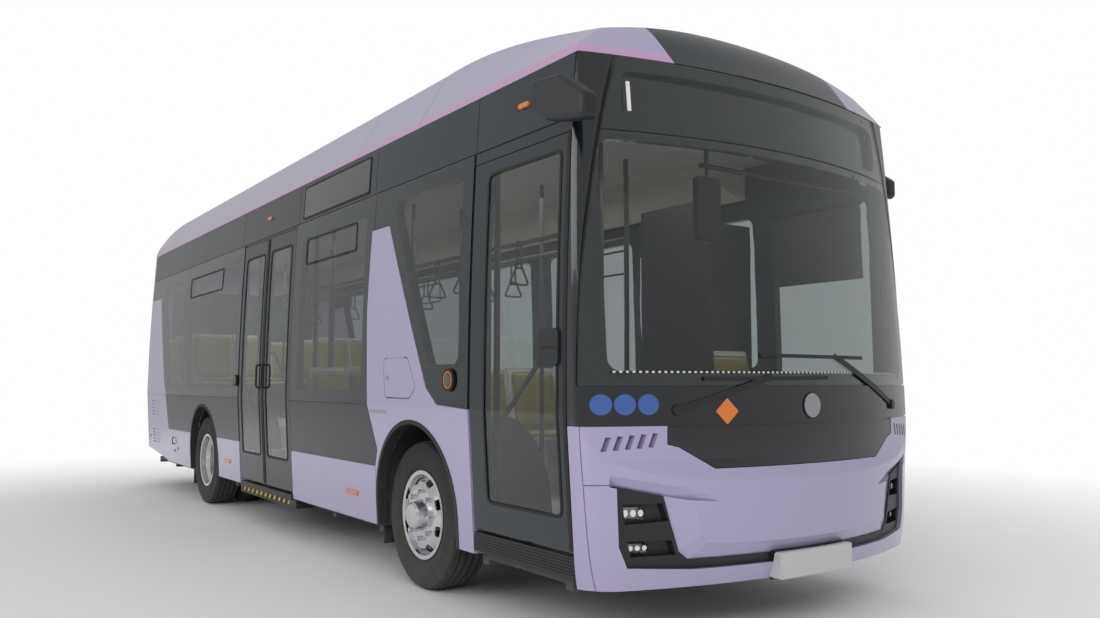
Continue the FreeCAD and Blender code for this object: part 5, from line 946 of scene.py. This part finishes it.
# The step cassette's edge: slanting yellow marks on the black face under the middle door.
# They are pieces of grip tape, stuck on to warn of the step.
grip_yellow = finish_material("grip_yellow", (0.75, 0.50, 0.03), 0.7, vary=0.2, grain=900.0,
                              grain_strength=0.5)
MARK_COUNT = 11
MARK_FIRST_X = -0.60
MARK_PITCH = 0.115
MARK_WIDTH = 0.040
MARK_Z = (0.264, 0.298)
mark_slant = MARK_Z[1] - MARK_Z[0]
for number in range(MARK_COUNT):
    x = MARK_FIRST_X + MARK_PITCH * number
    outline = [(x - MARK_WIDTH, MARK_Z[0]), (x, MARK_Z[0]),
               (x + mark_slant, MARK_Z[1]), (x + mark_slant - MARK_WIDTH, MARK_Z[1])]
    side_piece("step_mark_%d" % number, outline, grip_yellow, radius=0.003, thick=0.0016, lift=0.0088)

# The nose: bare discs and a diamond on the black mask, a round plate in the badge's place, the plate's frame.
# They are thin enamelled and moulded parts, glued on, with no words or signs.
NOSE_NODES = ("front_mask", "bumper", "windshield", "lamp_bezels")
SHEET_STEP = 0.025


def nose_x(y, z, depth=0.0, over=NOSE_NODES):
    """Where a line along the bus at (y, z) meets the front of the carried-over nose."""
    for raised in (0.0, 0.02, 0.04):
        found = []
        for name in over:
            hit, place, normal, index = node[name].ray_cast(Vector((6.0, y, z + raised)), Vector((-1, 0, 0)))
            if hit:
                found.append(place.x)
        if found:
            break
    return max(found) + depth


def front_piece(name, corners, material, radius=0.0, thick=0.003, ring=0.0, lift=0.0005, over=NOSE_NODES):
    """A thin sheet on the nose: corners as (y, z), laid on the surface behind it."""
    piece = outlined_sheet(name, [(0.0, y, z) for y, z in corners], radius, ring)
    cut_across(1, [y for y, z in corners], SHEET_STEP)
    cut_across(2, [z for y, z in corners], SHEET_STEP)
    bpy.ops.mesh.extrude_region_move(TRANSFORM_OT_translate={"value": (thick, 0, 0)})
    bpy.ops.object.mode_set(mode="OBJECT")
    for vertex in piece.data.vertices:
        vertex.co.x += nose_x(vertex.co.y, vertex.co.z, lift, over)
    return finish_piece(piece, material, "body", 40.0)


def round_corners(y, z, radius_y, radius_z=None, count=28):
    radius_z = radius_z or radius_y
    return [(y + radius_y * math.cos(math.tau * i / count), z + radius_z * math.sin(math.tau * i / count))
            for i in range(count)]


disc_blue = finish_material("disc_blue", (0.05, 0.13, 0.42), 0.35, vary=0.05, grain=700.0, Coat_Weight=0.3)
diamond_orange = finish_material("diamond_orange", (0.80, 0.22, 0.03), 0.35, vary=0.05, grain=700.0,
                                 Coat_Weight=0.3)
DISC_Z = 1.122
DISC_R = 0.047
DIAMOND_PLACE = (-0.535, 1.088)
DIAMOND_HALF = 0.062
for number, y in enumerate((-1.128, -1.026, -0.922)):
    front_piece("nose_disc_%d" % number, round_corners(y, DISC_Z, DISC_R), disc_blue, thick=0.0012)
diamond = [(DIAMOND_PLACE[0] + across * DIAMOND_HALF, DIAMOND_PLACE[1] + up * DIAMOND_HALF)
           for across, up in ((0, -1), (1, 0), (0, 1), (-1, 0))]
front_piece("nose_diamond", diamond, diamond_orange, radius=0.006, thick=0.0012)
front_piece("badge_plate", round_corners(0.0, 1.109, 0.060), bright_metal, thick=0.006)
front_piece("badge_plate_rim", round_corners(0.0, 1.109, 0.066), seam_black, thick=0.004, ring=0.008)
PLATE_HALF = 0.252
PLATE_Z = (0.295, 0.413)
FRAME_LAP = 0.012
plate_frame = rectangle(-PLATE_HALF - FRAME_LAP, PLATE_HALF + FRAME_LAP, PLATE_Z[0] - FRAME_LAP,
                        PLATE_Z[1] + FRAME_LAP)
front_piece("plate_frame", plate_frame, black_plastic, radius=0.008, thick=0.010, ring=0.013)

# Slim lamp beside the sign, and the pale dotted line printed along the lower edge of the screen.
# The line is enamel fired on the glass; the lamp is a white bar behind a clear cover.
lamp_white = finish_material("lamp_white", (0.85, 0.85, 0.83), 0.3, vary=0.05, grain=700.0)
front_piece("sign_lamp", rectangle(-0.939, -0.921, 2.507, 2.655), lamp_white, radius=0.005, thick=0.004)


def dashes():
    """Short dashes of one colour across the bus, on a ground of another."""
    tree, source, sink = node_group(
        "dashes",
        [("Color", "Colour", (0.8, 0.8, 0.8, 1)), ("Color", "Ground", (0.007, 0.011, 0.014, 1)),
         ("Float", "Pitch", 0.03), ("Float", "Fill", 0.4)],
        [("Color", "Colour"), ("Float", "Mask")],
    )
    link = tree.links.new
    place = add_node(tree, "TexCoord")
    split = add_node(tree, "SeparateXYZ")
    steps = add_node(tree, "Math", operation="DIVIDE")
    part = add_node(tree, "Math", operation="FRACT")
    shown = add_node(tree, "Math", operation="LESS_THAN")
    mixed = add_node(tree, "Mix", data_type="RGBA")
    link(place.outputs["Object"], split.inputs[0])
    link(split.outputs["Y"], steps.inputs[0])
    link(source.outputs["Pitch"], steps.inputs[1])
    link(steps.outputs[0], part.inputs[0])
    link(part.outputs[0], shown.inputs[0])
    link(source.outputs["Fill"], shown.inputs[1])
    link(shown.outputs[0], mixed.inputs["Factor"])
    link(source.outputs["Ground"], mixed.inputs["A"])
    link(source.outputs["Colour"], mixed.inputs["B"])
    link(mixed.outputs["Result"], sink.inputs["Colour"])
    link(shown.outputs[0], sink.inputs["Mask"])
    return tree


screen_print = finish_material("screen_print", (0.80, 0.80, 0.78), 0.3, vary=0.05, grain=700.0)
colour_through(screen_print, dashes(), Pitch=0.029, Fill=0.42)
front_piece("screen_print", rectangle(-1.090, 0.930, 1.2660, 1.2745), screen_print, radius=0.002,
            thick=0.0006, over=("windshield", "front_mask"))

# Lamp eyes: three small bright rounds side by side on each headlamp, the middle one white.
# They are metallised mouldings with small lenses, set in the black trays of the nose.
lamp_chrome = finish_material("lamp_chrome", (0.82, 0.84, 0.88), 0.12, vary=0.1, grain=500.0, Metallic=1.0)
lamp_glow = finish_material("lamp_glow", (0.90, 0.92, 0.95), 0.2, vary=0.05, grain=500.0)
for number, (lowest, highest) in enumerate(islands(node["headlamps"])):
    middle = (lowest + highest) / 2
    for part in range(3):
        width = (highest.y - lowest.y) / 3
        y = lowest.y + width * (part + 0.5)
        front_piece("lamp_eye_%d_%d" % (number, part),
                    round_corners(y, middle.z, width * 0.34, (highest.z - lowest.z) * 0.30, 20),
                    lamp_chrome if part != 1 else lamp_glow, thick=0.0025, lift=0.0004, over=("headlamps",))

# In the cab: a blind over the driver's window, and a screen on the dash.
# The blind is dark mesh on a spring roller, drawn half down behind the pane; the screen is a moulded slab.
blind_mesh = finish_material("blind_mesh", (0.02, 0.02, 0.022), 0.8, vary=0.4, vary_scale=400.0, grain=1500.0,
                             grain_strength=0.6, grain_depth=0.001)
BLIND_DEPTH = 0.085
BLIND_X = (3.500, 4.200)
side_piece("window_blind", rectangle(*BLIND_X, 1.86, 2.330), blind_mesh, side=1, radius=0.01, thick=0.002,
           lift=-BLIND_DEPTH)
roller_y = side_y(2.34) - BLIND_DEPTH
roller_ends = [(BLIND_X[0] - 0.010, roller_y, 2.335), (BLIND_X[1] + 0.010, roller_y, 2.335)]
blind_roller = tube("blind_roller", roller_ends, 0.016, sides=4)
finish_piece(blind_roller, seam_black, "body", 40.0)
bpy.ops.object.select_all(action="DESELECT")
bpy.ops.mesh.primitive_cube_add(size=1, location=(4.20, 0.30, 1.13), rotation=(0, math.radians(-28), 0))
cab_screen = bpy.context.object
cab_screen.name = "cab_screen"
cab_screen.scale = (0.018, 0.26, 0.17)
bpy.ops.object.transform_apply(location=False, rotation=False, scale=True)
bpy.ops.object.mode_set(mode="EDIT")
bpy.ops.mesh.select_all(action="SELECT")
bpy.ops.mesh.bevel(offset=0.005, segments=3, affect="EDGES")
bpy.ops.object.mode_set(mode="OBJECT")
finish_piece(cab_screen, sign_pane, "body", 40.0)
